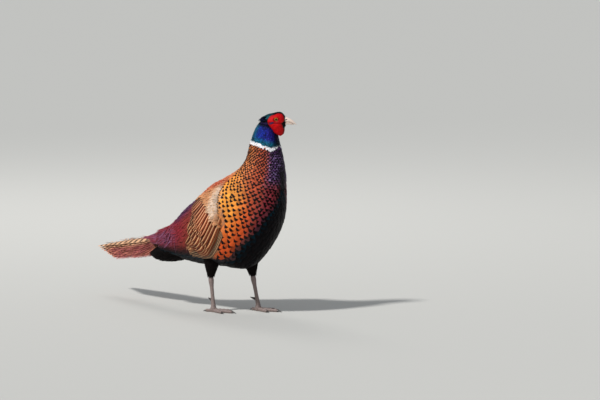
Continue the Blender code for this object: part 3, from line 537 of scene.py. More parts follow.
def blades(spine, outwards, half, lines, uv_root, colours, draw,
           thick=0.00025, camber=0.22, fray=0.05, rounding=0.7, shaft=0.0):
    """Many feathers at once, as arrays with one row for each feather.

    spine and outwards run from root to tip, (feathers, rows, 3), with half widths (feathers, rows).
    lines say where the lines along the blade lie across it, -1 to 1. colours are those of its tract.
    """
    count, rows = half.shape
    ground, mark, size = colours
    lines = np.asarray(lines)
    v = np.linspace(0, 1, rows)
    along = unit(np.gradient(spine, axis=1))
    across = unit(np.cross(along, outwards))
    outwards = np.cross(across, along)
    length = np.linalg.norm(np.diff(spine, axis=1), axis=-1).sum(1)
    at = lines * half[..., None]
    full = 1 - lines ** 2
    swell = thick / 2 * full * (1 - 0.5 * v)[:, None]
    swell = swell + shaft * (np.abs(lines) < 0.09) * (1 - 0.8 * v)[:, None]
    swell[[0, -1]] = 0
    swell[:, [0, -1]] = 0
    rise = -camber * half[..., None] * lines ** 2
    ragged = (draw.random((count, len(lines))) - 0.5) * fray * length[:, None]
    ragged = ragged - rounding * half.max(axis=1)[:, None] * lines ** 2
    slide = ragged[:, None, :] * (v ** 4)[:, None]
    middle = spine[:, :, None] + across[:, :, None] * at[..., None] + along[:, :, None] * slide[..., None]
    faces_out = [middle + outwards[:, :, None] * (rise + way * swell)[..., None] for way in (1, -1)]
    v_grid, u_grid = (np.broadcast_to(g, (count, rows, len(lines))) for g in np.meshgrid(v, lines, indexing="ij"))
    barb = v_grid * length[:, None, None] - np.abs(at)
    vane = np.stack([u_grid, v_grid, barb], -1)
    spot = np.stack([
        u_grid / size[:, 0, None, None],
        (v_grid - size[:, 2, None, None]) / size[:, 1, None, None],
        np.zeros_like(u_grid),
    ], -1)
    uv = uv_root[:, None, None] + OFBAKE_PATCH * np.stack([u_grid / 2, v_grid - 0.5], -1)

    def packed(upper, lower):
        size = upper.shape[-1]
        inner = lower[:, 1:-1, 1:-1].reshape(count, -1, size)
        return np.concatenate([upper.reshape(count, -1, size), inner], axis=1)

    return {
        "points": packed(*faces_out), "vane": packed(vane, vane), "spot": packed(spot, spot),
        "uv": packed(uv, uv), "ground": ground, "mark": mark, "grid": (rows, len(lines)),
    }


print("A blade of 7 rows and 5 lines has", 2 * len(blade_faces(7, 5)), "triangles")

# %% From feathers to a piece
def feather_piece(name, batches):
    """One object of many blades, from one batch or several of the same grid."""
    batches = batches if isinstance(batches, list) else [batches]
    rows, columns = batches[0]["grid"]
    points, vane, spot, uv, ground, mark = (
        np.concatenate([batch[key] for batch in batches])
        for key in ("points", "vane", "spot", "uv", "ground", "mark")
    )
    count, each = points.shape[:2]
    faces = (blade_faces(rows, columns)[None] + (np.arange(count) * each)[:, None, None]).reshape(-1, 4)
    obj = mesh_object(name, points.reshape(-1, 3), faces)
    mesh = obj.data
    rim = np.ones((rows, columns), bool)
    rim[1:-1, 1:-1] = False
    rim = np.tile(np.concatenate([rim.ravel(), np.zeros((rows - 2) * (columns - 2), bool)]), count)
    ends = np.empty(len(mesh.edges) * 2, np.int32)
    mesh.edges.foreach_get("vertices", ends)
    sharp = mesh.attributes.new("sharp_edge", "BOOLEAN", "EDGE")
    sharp.data.foreach_set("value", rim[ends[::2]] & rim[ends[1::2]])
    write_attribute(mesh, "vane", vane.reshape(-1, 3))
    write_attribute(mesh, "spot", spot.reshape(-1, 3))
    write_attribute(mesh, "ground", np.repeat(ground, each, axis=0))
    write_attribute(mesh, "mark", np.repeat(mark, each, axis=0))
    corners = np.empty(len(mesh.loops), np.int32)
    mesh.loops.foreach_get("vertex_index", corners)
    unwrap = uv.reshape(-1, 2)[corners].astype(np.float32)
    mesh.uv_layers.new(name="OFBake").data.foreach_set("uv", unwrap.ravel())
    print(f"{name}: {count} feathers, {2 * len(faces)} triangles")
    return obj


def varied(colours, draw, amount=0.10):
    """The same colours, but each feather's a little lighter or darker than the next."""
    ground, mark, size = colours
    luck = 1 + amount * draw.standard_normal((len(ground), 1))
    return np.clip(ground * luck, 0, 1), np.clip(mark * luck, 0, 1), size


print("Each point of a feather knows its vane place, its tip mark, its colours and its root on the skin")

# %% A coat in staggered rows
def coat(surface, first, last, spacing, columns, colours, seed, span=5, rows=7, across=5, depth=0.0020,
         lift=0.0010, overlap=0.62, warp=0.2, spread=0.5, sweep=0.0, luck=0.10,
         keep=None, unwrap=10.0, **look):
    """A tract from place first to last. spacing is between rows, in metres along the bird's side.

    It can be a number, or places with the spacing at each. keep(place, angle) says at which tips a feather
    is left standing.
    """
    draw = np.random.default_rng(seed)
    fine = np.linspace(first, last, 400)
    line = surface(fine, np.full(400, 90.0))
    pitch = np.interp(fine, *spacing) if isinstance(spacing, tuple) else np.full(400, spacing)
    run = np.concatenate([[0], np.cumsum(np.linalg.norm(np.diff(line, axis=0), axis=1) / pitch[1:])])
    # The first rows are rooted at the tract's edge and are short, so that no long one lies bare there
    row, column = np.meshgrid(np.arange(1 - span, int(run[-1]) - span), np.arange(columns), indexing="ij")
    row, column = row.ravel(), column.ravel()
    turn = (column + 0.5 * (row % 2)) * 360 / columns - 180
    turn = turn + draw.normal(0, 0.08 * 360 / columns, len(turn))
    angle = turn - math.degrees(warp / 2) * np.sin(np.radians(2 * turn))
    start = row + draw.normal(0, 0.11, len(row))
    v = np.linspace(0, 1, rows)
    rooted = np.maximum(start, 0)[:, None]
    place = np.interp(rooted + v * (start[:, None] + span - rooted), run, fine)
    angle = angle[:, None] + np.zeros(rows)
    if keep is not None:
        standing = keep(place[:, -1], angle[:, -1])
        place, angle = place[standing], angle[standing]
    drift = draw.normal(0, spread, len(place))[:, None] * v
    angle = angle + drift * 360 / columns / 4 + sweep * np.sin(np.radians(angle)) * v
    points, outwards = with_outwards(surface, place, angle)
    height = -depth + (depth + lift * draw.uniform(0.6, 1.4, len(place))[:, None]) * v ** 0.85
    spine = points + outwards * height[..., None]
    step = 360 / columns
    gap = np.linalg.norm(surface(place, angle + step / 2) - surface(place, angle - step / 2), axis=-1)
    profile = np.sqrt(np.clip(0.12 + 1.9 * v, 0, 1)) * (1 - 0.45 * v ** 6)
    tip_colours = varied(colours(place[:, -1], angle[:, -1]), draw, luck)
    root = np.stack([angle[:, 0] / 360 + 0.5, place[:, 0] / unwrap], -1)
    lines = np.linspace(-1, 1, across)
    return blades(spine, outwards, overlap * gap * profile, lines, root, tip_colours, draw, **look)


print("Coats are laid by surface, rows and columns")

# %% [markdown]
# ## Plumage materials
# Keratin in thin barbs has an IOR near 1.55 and looks satin, rougher where barbs are loose. Body feathers
# get their pattern from the attributes: the ground colour, darker towards the root, and the mark at the
# tip. The darkening is partly the real down at the root and partly painted shade where a feather lies under
# the feathers over it. Fine diagonal barbs, about 0.4 mm apart on the bird, are drawn every 0.9 mm so that
# they show, both as bumps and as painted light that lifts and lowers the colour along each barb. Neck and
# belly owe their blue and green to layers in the barbules that act like a dark metal. The neck's finish is
# partly metallic and smoother, the belly's only smoother, and the belly's green edge is painted sheen.

# %% Plumage finish
BARB_PITCH = 0.0009


def plumage(name, paint, roughness=0.60, metallic=0.0, sheen=0.0, specular=0.14, relief=0.5):
    """A feather material. paint(tree, vane parts, attributes) gives the pattern's colour socket."""
    made, tree, shader = new_material(name, Roughness=roughness, Metallic=metallic, IOR=1.55,
                                      Sheen_Weight=sheen, Sheen_Roughness=0.4, Specular_IOR_Level=specular)
    read = {key: add(tree, "Attribute", attribute_name=key) for key in ("vane", "spot", "ground", "mark")}
    parts = add(tree, "SeparateXYZ", {"Vector": read["vane"].outputs["Vector"]})
    phase = add(tree, "Math", {0: parts.outputs["Z"], 1: 2 * math.pi / BARB_PITCH}, operation="MULTIPLY")
    barbs = add(tree, "Math", {0: phase.outputs[0]}, operation="SINE")
    pattern = paint(tree, parts, read)
    # Painted light along the barbs: the colour is lifted and lowered with each barb, besides the bump below
    barb_painted_light = add(tree, "MapRange", {"Value": barbs.outputs[0], "From Min": -1.0, "To Min": 0.82, "To Max": 1.08})
    noise = add(tree, "TexNoise", {"Scale": 140.0, "Detail": 3.0})
    mottle = add(tree, "MapRange", {"Value": noise.outputs["Fac"], "From Min": 0.3, "From Max": 0.7,
                                    "To Min": 0.84, "To Max": 1.12})
    strength = add(tree, "Math", {0: barb_painted_light.outputs[0], 1: mottle.outputs[0]}, operation="MULTIPLY")
    shaded = add(tree, "VectorMath", {0: pattern, "Scale": strength.outputs[0]}, operation="SCALE")
    tree.links.new(shaded.outputs[0], shader.inputs["Base Color"])
    bump = add(tree, "Bump", {"Height": barbs.outputs[0], "Strength": relief, "Distance": 0.00012})
    tree.links.new(bump.outputs["Normal"], shader.inputs["Normal"])
    return made


def tip_marked(painted_root_shade_from, painted_root_shade_to, raggedness=0.22):
    """Ground colour with a mark at the tip, darker towards the root: partly the real down, partly painted shade under
    the feathers over it.
    """
    def paint(tree, parts, read):
        # Darker towards the root, down to 0.22 of the colour: partly real down, partly painted shade
        root = add(tree, "MapRange", {"Value": parts.outputs["Y"], "From Min": painted_root_shade_from, "From Max": painted_root_shade_to,
                                      "To Min": 0.22, "To Max": 1.0}, interpolation_type="SMOOTHSTEP")
        ground = add(tree, "VectorMath", {0: read["ground"].outputs["Color"], "Scale": root.outputs[0]},
                     operation="SCALE")
        reach = add(tree, "VectorMath", {0: read["spot"].outputs["Vector"]}, operation="LENGTH")
        noise = add(tree, "TexNoise", {"Scale": 420.0, "Detail": 2.0})
        wobble = add(tree, "Math", {0: noise.outputs["Fac"], 1: raggedness, 2: reach.outputs["Value"]},
                     operation="MULTIPLY_ADD")
        middle = 1.0 + raggedness / 2
        inside = band(tree, wobble.outputs[0], (-2.0, -1.0), (middle - 0.08, middle + 0.08))
        return mix(tree, inside, ground.outputs[0], read["mark"].outputs["Color"])
    return paint


body_satin = plumage("satin_body_feathers", tip_marked(0.25, 0.65))
fine_satin = plumage("satin_hair_feathers", tip_marked(0.05, 0.35), roughness=0.5)
neck_gloss = plumage("blue_gloss_feathers", tip_marked(0.50, 0.95), roughness=0.34, metallic=0.5)
breast_gloss = plumage("copper_gloss_feathers", tip_marked(0.40, 0.75), roughness=0.45, metallic=0.15)
belly_gloss = plumage("black_gloss_feathers", tip_marked(0.25, 0.65), roughness=0.42, specular=0.04)
dark_down = plumage("dark_loose_feathers", tip_marked(0.25, 0.65), roughness=0.7, specular=0.05)
collar_white = plumage("white_collar_feathers", tip_marked(0.0, 0.15), roughness=0.6)
print("Plumage finishes:", [m.name for m in (body_satin, neck_gloss, breast_gloss, belly_gloss)])

# %% [markdown]
# ## Skin
# Under the feathers lies one skin without a seam, a coat's depth inside the imported solids. It stands for
# head, neck, trunk, rump and thighs together. It is lofted from the same rows and welded by a remesh, as a
# real skin is one sheet. It carries the same colours as the feathers, darkened as painted shade, so that a
# gap between feathers looks shadowed and nothing light shines through.

# %% Thighs as surfaces
LEG_SIDE = 0.032
ANKLE_HEIGHT, THIGH_TOP = 0.074, 0.148
ANKLE_X = {"left": 0.0010, "right": -0.0660}
FOOT_X = {"left": 0.0140, "right": -0.0600}
THIGH_ROWS = ((0.0, 0.0180), (0.30, 0.0185), (0.55, 0.0162), (0.75, 0.0118), (0.90, 0.0082), (1.04, 0.0066))


def ankle_of(side):
    return np.array([ANKLE_X[side], SIDES[side] * LEG_SIDE, ANKLE_HEIGHT])


def thigh_of(side):
    """The surface of one feathered thigh, from the hip down."""
    ankle = ankle_of(side)
    hip = np.array([0.75 * ankle[0] - 0.012, 0.95 * ankle[1], THIGH_TOP])

    def surface(place, angle):
        share, radius = np.moveaxis(smooth_rows(THIGH_ROWS, place), -1, 0)
        turn = np.radians(angle) + 0 * share
        ring = np.stack([-np.cos(turn), np.sin(turn), 0 * turn], -1)
        return hip + (ankle - hip) * share[..., None] + radius[..., None] * ring

    return surface


print("Ankles at", [ankle_of(side).tolist() for side in SIDES])

# %% Colours of the head
def head_colours(place, angle):
    """Colours of head feathers: black forehead and lores, teal rear crown, violet cheeks, blue neck side. The teal
    and the violet are painted sheen.
    """
    a = np.abs(angle)
    c = COLOURS
    one = np.ones_like(place)
    ground = blend(c["neck_black"] * one[..., None], c["crown_teal_painted_sheen"],
                   0.8 * smooth(2.6, 3.6, place) * (1 - smooth(45, 80, a)))
    ground = blend(ground, c["cheek_violet_painted_sheen"], 0.5 * smooth(3.7, 4.3, place) * smooth(82, 98, a) * (1 - smooth(104, 122, a)))
    ground = blend(ground, c["neck_blue"], 0.7 * smooth(3.9, 4.6, place) * smooth(98, 120, a))
    return ground, blend(ground, c["neck_black"], 0.5 * one), np.array([1.3, 0.2, 0.97]) * one[..., None]


print("Crown:", head_colours(np.array([3.0]), np.array([0.0]))[0].round(3).tolist())

# %% One skin
COAT_DEPTH = 0.0020
SKIN_GRAIN = 0.0022
SKIN_PAINTED_SHADE = 0.55


def shrunk(surface, last, rings, depth):
    """A closed tube a little inside a surface."""
    place, angle = np.meshgrid(np.linspace(0, last, rings), np.arange(0.0, 360.0, 6.0), indexing="ij")
    points, outwards = with_outwards(surface, place, angle)
    return loft(points - outwards * depth)


skin = mesh_object("skin", *joined(
    [shrunk(trunk, 10, 110, COAT_DEPTH), shrunk(skull, 6, 50, 0.0012), shrunk(undertail, 4, 30, COAT_DEPTH)]
    + [shrunk(thigh_of(side), 5, 24, 0.0018) for side in SIDES]
))
weld = skin.modifiers.new("weld", "REMESH")
weld.mode = "VOXEL"
weld.voxel_size = SKIN_GRAIN
welded = bpy.data.meshes.new_from_object(skin.evaluated_get(bpy.context.evaluated_depsgraph_get()))
skin.modifiers.clear()
skin.data = welded
skin.data.shade_smooth()


def tract_samples():
    """Points all over trunk and head with the colour that grows there."""
    place, angle = (g.ravel() for g in np.meshgrid(np.linspace(0, 10, 200), np.arange(-180.0, 180.0, 3.0)))
    head_place, head_angle = (g.ravel() for g in np.meshgrid(np.linspace(0, 6, 60), np.arange(-180.0, 180.0, 6.0)))
    spots = np.concatenate([trunk(place, angle), skull(head_place, head_angle)])
    return spots, np.concatenate([plumage_colours(place, angle)[0], head_colours(head_place, head_angle)[0]])


sample_spots, sample_colours = tract_samples()
near = KDTree(len(sample_spots))
for index, spot in enumerate(sample_spots):
    near.insert(spot, index)
near.balance()
nearest = [near.find(vert.co - Vector(BIRD))[1] for vert in skin.data.vertices]
# Painted shade: the skin takes the plumage's colour, darkened, as the shadow in gaps between feathers
write_attribute(skin.data, "ground", sample_colours[nearest] * SKIN_PAINTED_SHADE)
skin_finish, skin_tree, skin_shader = new_material("feathered_skin", Roughness=0.8)
skin_colour = add(skin_tree, "Attribute", attribute_name="ground")
skin_tree.links.new(skin_colour.outputs["Color"], skin_shader.inputs["Base Color"])
dress(skin, skin_finish, "copper_body_feathers", "head", "neck", "torso", "rump", "thigh_left", "thigh_right")
print("Skin faces:", len(skin.data.polygons))

# %% [markdown]
# ## Neck, breast, flanks, belly and back
# Feathers are smallest on the head and grow larger down the neck, over the breast and along the flanks, so
# each tract has its own rows, columns and blade. The neck's are short, pointed scales that make the gloss
# look combed. The flank feathers are broad, and their black tips stand in a quincunx because every row is
# shifted by half a feather.

# %% Coats of neck and collar
neck_coat = feather_piece("neck_feathers", coat(
    trunk, 0.0, 2.35, 0.0019, 54, plumage_colours, seed=11, rows=5, across=5, depth=0.0013, lift=0.0008,
    warp=0.0, luck=0.34, keep=lambda t, a: t < np.interp(np.abs(a), *COLLAR) - 0.05, rounding=0.6, thick=0.0003))
dress(neck_coat, neck_gloss, "glossy_neck_feathers")
collar_coat = feather_piece("collar_feathers", coat(
    trunk, 1.2, 2.50, 0.0014, 60, plumage_colours, seed=12, rows=5, across=5, depth=0.0013, lift=0.0013,
    warp=0.0, spread=0.0, luck=0.02, keep=lambda t, a: (np.abs(t - np.interp(np.abs(a), *COLLAR)) < 0.115)
    & (np.abs(a) < 173), rounding=0.5, thick=0.0003, fray=0.10))
dress(collar_coat, collar_white, "glossy_neck_feathers")

# %% Coats of breast, flanks, belly and mantle
# Row spacing at places down the body. The scales of the breast grow evenly into those of the flank
BODY_SPACING = ((1.4, 3.0, 4.0, 5.0, 6.0, 7.5), (0.0030, 0.0038, 0.0048, 0.0064, 0.0084, 0.0092))
MANTLE_SIDE = 46


def body_tract(low, high, first, last, signs=(1, -1)):
    """Keeps the feathers whose tips lie in a window and outside the folded wing, collar and rump."""
    def keep(place, angle):
        a = np.where(np.isin(np.sign(angle), signs), np.abs(angle), -1)
        hidden = (place > 6.5) & (place < 7.6) & (a > 62) & (a < 92)
        rump = place > np.interp(a, *RUMP_START) + 0.25
        back = (a < MANTLE_SIDE) & (place > 4.1) & (low > 0)
        inside = (a >= low) & (a < high) & (place > first) & (place <= last)
        return inside & (place > np.interp(a, *COLLAR) + 0.07) & ~hidden & ~back & ~(rump & (a < 118))
    return keep


BODY_LOOK = {"seed": 14, "rows": 8, "across": 9, "depth": 0.0022, "lift": 0.0015, "warp": 0.14, "thick": 0.0003,
             "fray": 0.05, "rounding": 0.55, "luck": 0.14}
# Name, lowest and highest angle, first and last place, sides, finish
BODY_TRACTS = (
    ("breast_feathers", 0.1, 181, 1.9, 4.1, (1, -1), breast_gloss),
    ("flank_feathers_left", 0.1, 136, 4.1, 10, (1,), body_satin),
    ("flank_feathers_right", 0.1, 136, 4.1, 10, (-1,), body_satin),
    ("belly_feathers", 136, 181, 4.1, 10, (1, -1), belly_gloss),
)
for name, low, high, first, last, signs, finish in BODY_TRACTS:
    piece = feather_piece(name, coat(trunk, 1.3, 10.0, BODY_SPACING, 38, plumage_colours,
                                     keep=body_tract(low, high, first, last, signs), **BODY_LOOK))
    dress(piece, finish, "copper_body_feathers")
print("Trunk dressed")

# %% Mantle and shoulders
SHOULDER_RISE = 0.0088


def shoulder(place, angle):
    """The trunk, raised over the front of the folded wing."""
    points, outwards = with_outwards(trunk, place, angle)
    a = np.abs(angle)
    share = smooth(4.35, 5.3, place) * smooth(10, 34, a) * (1 - smooth(-5, 5, a - np.interp(place, *GOLD_TOP)))
    share = share * (1 - smooth(6.0, 6.8, place) * (1 - smooth(30, 44, a)))
    return points + outwards * (SHOULDER_RISE * share)[..., None]


def on_shoulder(place, angle):
    """Keeps the feathers of the mantle, and those of the shoulder as far as the wing shows."""
    a = np.abs(angle)
    last = np.interp(a, (0, 24, 34, 60, 80), (7.0, 6.7, 6.0, 5.95, 6.25))
    return (place > 4.05) & (place < last) & (a < np.interp(place, *GOLD_TOP) + 2)


mantle = feather_piece("mantle_feathers", coat(
    shoulder, 3.1, 7.4, 0.0045, 70, plumage_colours, seed=15, rows=7, across=7, depth=0.0022, lift=0.0018,
    keep=on_shoulder, thick=0.0003, fray=0.14, luck=0.12))
dress(mantle, body_satin, "copper_body_feathers")

# %% [markdown]
# ## Head feathers and ear tufts
# The head is packed with feathers hardly 2 mm wide, which leave the face bare. Behind each eye stands a
# tuft of longer ones, the cock's ears. They start narrow above the red skin and point back past the nape.

# %% Outline of the bare face
FACE_MIDDLE = (0.0105, -0.0050)
FACE_REACH = (
    (0, 12, 34, 52, 67, 99, 129, 165, 197, 239, 268, 284, 294, 309, 327, 350, 360),
    (0.0138, 0.0179, 0.0201, 0.0224, 0.0216, 0.0175, 0.0191, 0.0189, 0.0155, 0.0179, 0.0236, 0.0294, 0.0288,
     0.0231, 0.0162, 0.0115, 0.0138),
)


def face_share(x, z):
    """0 in the middle of the bare face, 1 on its outline."""
    dx, dz = x - FACE_MIDDLE[0], z - FACE_MIDDLE[1]
    bearing = np.degrees(np.arctan2(dz, dx)) % 360
    return np.hypot(dx, dz) / np.interp(bearing, *FACE_REACH)


def off_face(place, angle):
    """True for feathers whose tips lie outside the bare face."""
    x, z, height, _ = np.moveaxis(smooth_rows(HEAD_ROWS, place), -1, 0)
    at_side = np.abs(np.sin(np.radians(angle))) > 0.25
    return ~((face_share(x, z + height * np.cos(np.radians(angle))) < 0.93) & at_side)


print("Share of the head's side that is bare:", round(float(1 - off_face(
    *(g.ravel() for g in np.meshgrid(np.linspace(0, 6, 60), np.linspace(30, 150, 60)))).mean()), 2))

# %% Coat of the head
head_coat = feather_piece("head_feathers", coat(
    skull, 0.0, 5.9, 0.0012, 58, head_colours, seed=21, rows=5, across=3, depth=0.0010, lift=0.0006,
    warp=0.0, luck=0.2, keep=off_face, unwrap=6.0, rounding=0.5, thick=0.0003))
dress(head_coat, neck_gloss, "glossy_neck_feathers")

TUFT_ROOT, TUFT_TIP = (-0.0105, 0.0100, 0.0062), (-0.0272, 0.0130, 0.0026)
TUFT_FAN_ROOT, TUFT_FAN_TIP, TUFT_BOW = 0.0060, 0.0080, 0.0022
TUFT_BLADES = 36


def ear_tuft(side, draw):
    """One fan of long narrow feathers behind an eye."""
    sign = SIDES[side]
    lean = np.linspace(-0.5, 0.5, TUFT_BLADES)
    layer = draw.uniform(0, 1, TUFT_BLADES)
    root = np.stack([
        TUFT_ROOT[0] + draw.normal(0, 0.001, TUFT_BLADES),
        sign * (TUFT_ROOT[1] + 0.001 * layer),
        TUFT_ROOT[2] + TUFT_FAN_ROOT * lean,
    ], -1)
    tip = np.stack([
        TUFT_TIP[0] + 0.010 * np.abs(lean) + draw.normal(0, 0.0009, TUFT_BLADES),
        sign * (TUFT_TIP[1] + 0.0032 * layer),
        TUFT_TIP[2] + TUFT_FAN_TIP * lean + draw.normal(0, 0.0006, TUFT_BLADES),
    ], -1)
    v = np.linspace(0, 1, 9)
    bow = np.array([0.0, sign * TUFT_BOW, TUFT_BOW / 2])
    spine = root[:, None] + (tip - root)[:, None] * v[:, None] + bow * np.sin(math.pi * v)[:, None]
    outwards = np.broadcast_to(np.array([0.0, sign, 0.15]), spine.shape)
    half = 0.0008 * (0.7 + 0.5 * np.sin(math.pi * v)) * (1 - 0.7 * v ** 3) + np.zeros((TUFT_BLADES, 1))
    ground = blend(np.tile(COLOURS["neck_black"], (TUFT_BLADES, 1)), COLOURS["neck_blue"], layer * 0.08)
    colours = unmarked(ground)
    uv_root = np.stack([lean * 0.2 + 0.5 + sign * 0.2, 0.5 + layer * 0.1], -1)
    place = np.array(HEAD_PLACE)[:3, :3]
    return blades(on_head(spine), outwards @ place.T, half, np.linspace(-1, 1, 5), uv_root, colours, draw,
                  fray=0.12)


tuft_draw = np.random.default_rng(22)
tufts = feather_piece("ear_tufts", [ear_tuft(side, tuft_draw) for side in SIDES])
dress(tufts, neck_gloss, "glossy_neck_feathers")

# %% [markdown]
# ## Wings
# A folded wing shows its feathers in tiers that lie over each other like a hand of cards: primaries lowest
# and hindmost, then secondaries, tertials, coverts, and the scapulars over them all. Each tier fans evenly
# between its lowest and its highest feather. A shaft runs along each vane. The browns are told by a dark
# middle, a cream streak on each side and a rufous fringe.

# %% Wing finishes
def across_share(tree, parts):
    """How far from the shaft a point lies, made a little uneven."""
    half = add(tree, "Math", {0: parts.outputs["X"]}, operation="ABSOLUTE")
    noise = add(tree, "TexNoise", {"Scale": 190.0, "Detail": 2.0})
    return add(tree, "Math", {0: noise.outputs["Fac"], 1: 0.24, 2: half.outputs[0]},
               operation="MULTIPLY_ADD").outputs[0]


def streaked(tree, parts, read):
    """Dark middle, cream streaks, rufous fringe."""
    side = across_share(tree, parts)
    dark = add(tree, "VectorMath", {0: read["ground"].outputs["Color"], "Scale": 0.22}, operation="SCALE")
    base = mix(tree, band(tree, side, (0.28, 0.40)), dark.outputs[0], read["ground"].outputs["Color"])
    streak = band(tree, side, (0.48, 0.56), (0.68, 0.77))
    return mix(tree, streak, base, read["mark"].outputs["Color"])


def barred(bars_along, edge_from):
    """Dark bars square to the shaft that stop short of the vane's edges."""
    def paint(tree, parts, read):
        side = across_share(tree, parts)
        phase = add(tree, "Math", {0: parts.outputs["Y"], 1: 2 * math.pi * bars_along}, operation="MULTIPLY")
        wave = add(tree, "Math", {0: phase.outputs[0]}, operation="SINE").outputs[0]
        bars = band(tree, wave, (0.10, 0.35))
        inside = band(tree, side, (-1.0, -0.9), (edge_from, edge_from + 0.18))
        share = add(tree, "Math", {0: bars, 1: inside}, operation="MULTIPLY").outputs[0]
        edge = band(tree, side, (edge_from + 0.1, edge_from + 0.3))
        base = mix(tree, edge, read["ground"].outputs["Color"], read["mark"].outputs["Color"])
        dark = add(tree, "VectorMath", {0: read["ground"].outputs["Color"], "Scale": 0.16}, operation="SCALE")
        return mix(tree, share, base, dark.outputs[0])
    return paint


wing_satin = plumage("streaked_wing_feathers", streaked)
tail_satin = plumage("barred_tail_feathers", barred(11, 0.95), roughness=0.5)
print("Wing and tail finishes made")

# %% Wing tiers
# Name, count, roots of the lowest and of the highest feather, then their tips, as (station, degrees
# from the back), height over the trunk at root and tip, widest width, roll
WING_TIERS = (
    ("primaries", 9, (6.30, 103), (6.15, 88), (8.20, 123), (8.52, 112), 0.0016, 0.0026, 0.0105, 9),
    ("secondaries", 11, (6.05, 92), (6.10, 62), (7.95, 112), (8.05, 84), 0.0026, 0.0044, 0.0175, 8),
    ("tertials", 7, (5.85, 80), (5.75, 46), (7.70, 99), (7.25, 66), 0.0034, 0.0064, 0.0190, 6),
    ("coverts", 9, (5.85, 86), (5.60, 48), (7.10, 101), (6.85, 59), 0.0042, 0.0078, 0.0165, 7),
    ("scapulars", 10, (5.55, 68), (5.20, 28), (6.80, 84), (6.48, 40), 0.0036, 0.0096, 0.0150, 5),
)
QUILL_LINES = (-1.0, -0.72, -0.4, -0.08, 0.0, 0.08, 0.4, 0.72, 1.0)


def wing_tier(tier, side, draw):
    """All the feathers of one tier on one side."""
    name, count, low_root, high_root, low_tip, high_tip, lift_root, lift_tip, widest, roll = tier
    sign = SIDES[side]
    share = np.linspace(0, 1, count)[:, None]
    v = np.linspace(0, 1, 22)
    root = np.array(low_root) + (np.array(high_root) - low_root) * share
    tip = np.array(low_tip) + (np.array(high_tip) - low_tip) * share + draw.normal(0, 1, (count, 2)) * (0.03, 0.8)
    place, angle = np.moveaxis(root[:, None] + (tip - root)[:, None] * v[:, None], -1, 0)
    points, outwards = with_outwards(trunk, place, sign * angle)
    # Each next feather of a tier lies a hair's breadth over the last
    stack = 0.0005 * share * count / 9
    spine = points + outwards * (lift_root + (lift_tip - lift_root) * v + stack)[..., None]
    along = unit(np.gradient(spine, axis=1))
    turn = -sign * math.radians(roll)
    outwards = outwards * math.cos(turn) + np.cross(along, outwards) * math.sin(turn)
    rounding = np.clip((v - 0.70) / 0.30, 0, 1)
    width = widest * np.minimum(1, 0.55 + 1.6 * v) * np.maximum(0.30, np.sqrt(np.clip(1 - rounding ** 2.2, 0, 1)))
    brown, cream = COLOURS["wing_brown"], COLOURS["wing_cream"]
    if name == "primaries":
        brown = COLOURS["primary_brown"]
    if name == "secondaries":
        cream = blend(cream, COLOURS["wing_buff"], 0.4)
    if name == "scapulars":
        brown, cream = COLOURS["scapular_brown"], COLOURS["scapular_buff"]
    ground, mark = np.tile(brown, (count, 1)), np.tile(cream, (count, 1))
    colours = varied(unmarked(ground, mark), draw, 0.2)
    uv_root = np.stack([sign * root[:, 1] / 360 + 0.5, root[:, 0] / 10], -1)
    return blades(spine, outwards, width / 2 + np.zeros((count, 1)), QUILL_LINES, uv_root, colours, draw,
                  thick=0.0005, camber=0.10, fray=0.02, rounding=0.25, shaft=0.00035)


for side in SIDES:
    wing_draw = np.random.default_rng(31)
    tiers = [wing_tier(tier, side, wing_draw) for tier in WING_TIERS]
    fans = feather_piece("wing_fans_" + side, tiers)
    dress(fans, wing_satin, "buff_wing_feathers", "wing_" + side)

# %% [markdown]
# ## Rump and tail
# The rump is clothed in long, loose, hair-like plumes that fall past the wing and over the tail's root.
# Eighteen tail feathers lie in a stepped fan under the long middle pair. Each is buff with dark bars, and
# its edges are loosened into mauve fringes.

# %% Rump plumes
def rump_side(sign):
    """Keeps the plumes of the rump on one side."""
    def keep(place, angle):
        a = np.abs(angle)
        own_side = (angle >= 0) == (sign > 0)
        return own_side & (place > np.interp(a, *RUMP_START) - 0.05) & (a < 128) & (place < 9.97)
    return keep


for side, sign in SIDES.items():
    rump = feather_piece("rump_plumes_" + side, coat(
        trunk, 5.2, 10.0, 0.0044, 116, plumage_colours, seed=41, span=8, rows=8, across=3, depth=0.0020,
        lift=0.0030, overlap=0.58, spread=3.0, sweep=7.0, luck=0.18, fray=0.1, thick=0.0004,
        keep=rump_side(sign)))
    dress(rump, fine_satin, "maroon_rump_feathers")

# %% Tail feathers
TAIL_BEND, TAIL_DROP = math.radians(28), math.radians(8)
TAIL_START = np.array([-0.1990, 0.0, 0.1460])
TAIL_PAIRS = 9
TAIL_LONG, TAIL_ROOT, TAIL_SAG, TAIL_CROWD = 0.277, 0.030, 0.010, 1.25
level = np.array([-math.cos(TAIL_BEND), math.sin(TAIL_BEND), 0.0])
tail_along = level * math.cos(TAIL_DROP) - np.array([0.0, 0.0, math.sin(TAIL_DROP)])
tail_left = unit(np.cross(tail_along, (0.0, 0.0, 1.0)))
tail_up = np.cross(tail_left, tail_along)
TAIL_ROWS = 30


def between(ends, share):
    return ends[0] + (ends[1] - ends[0]) * share


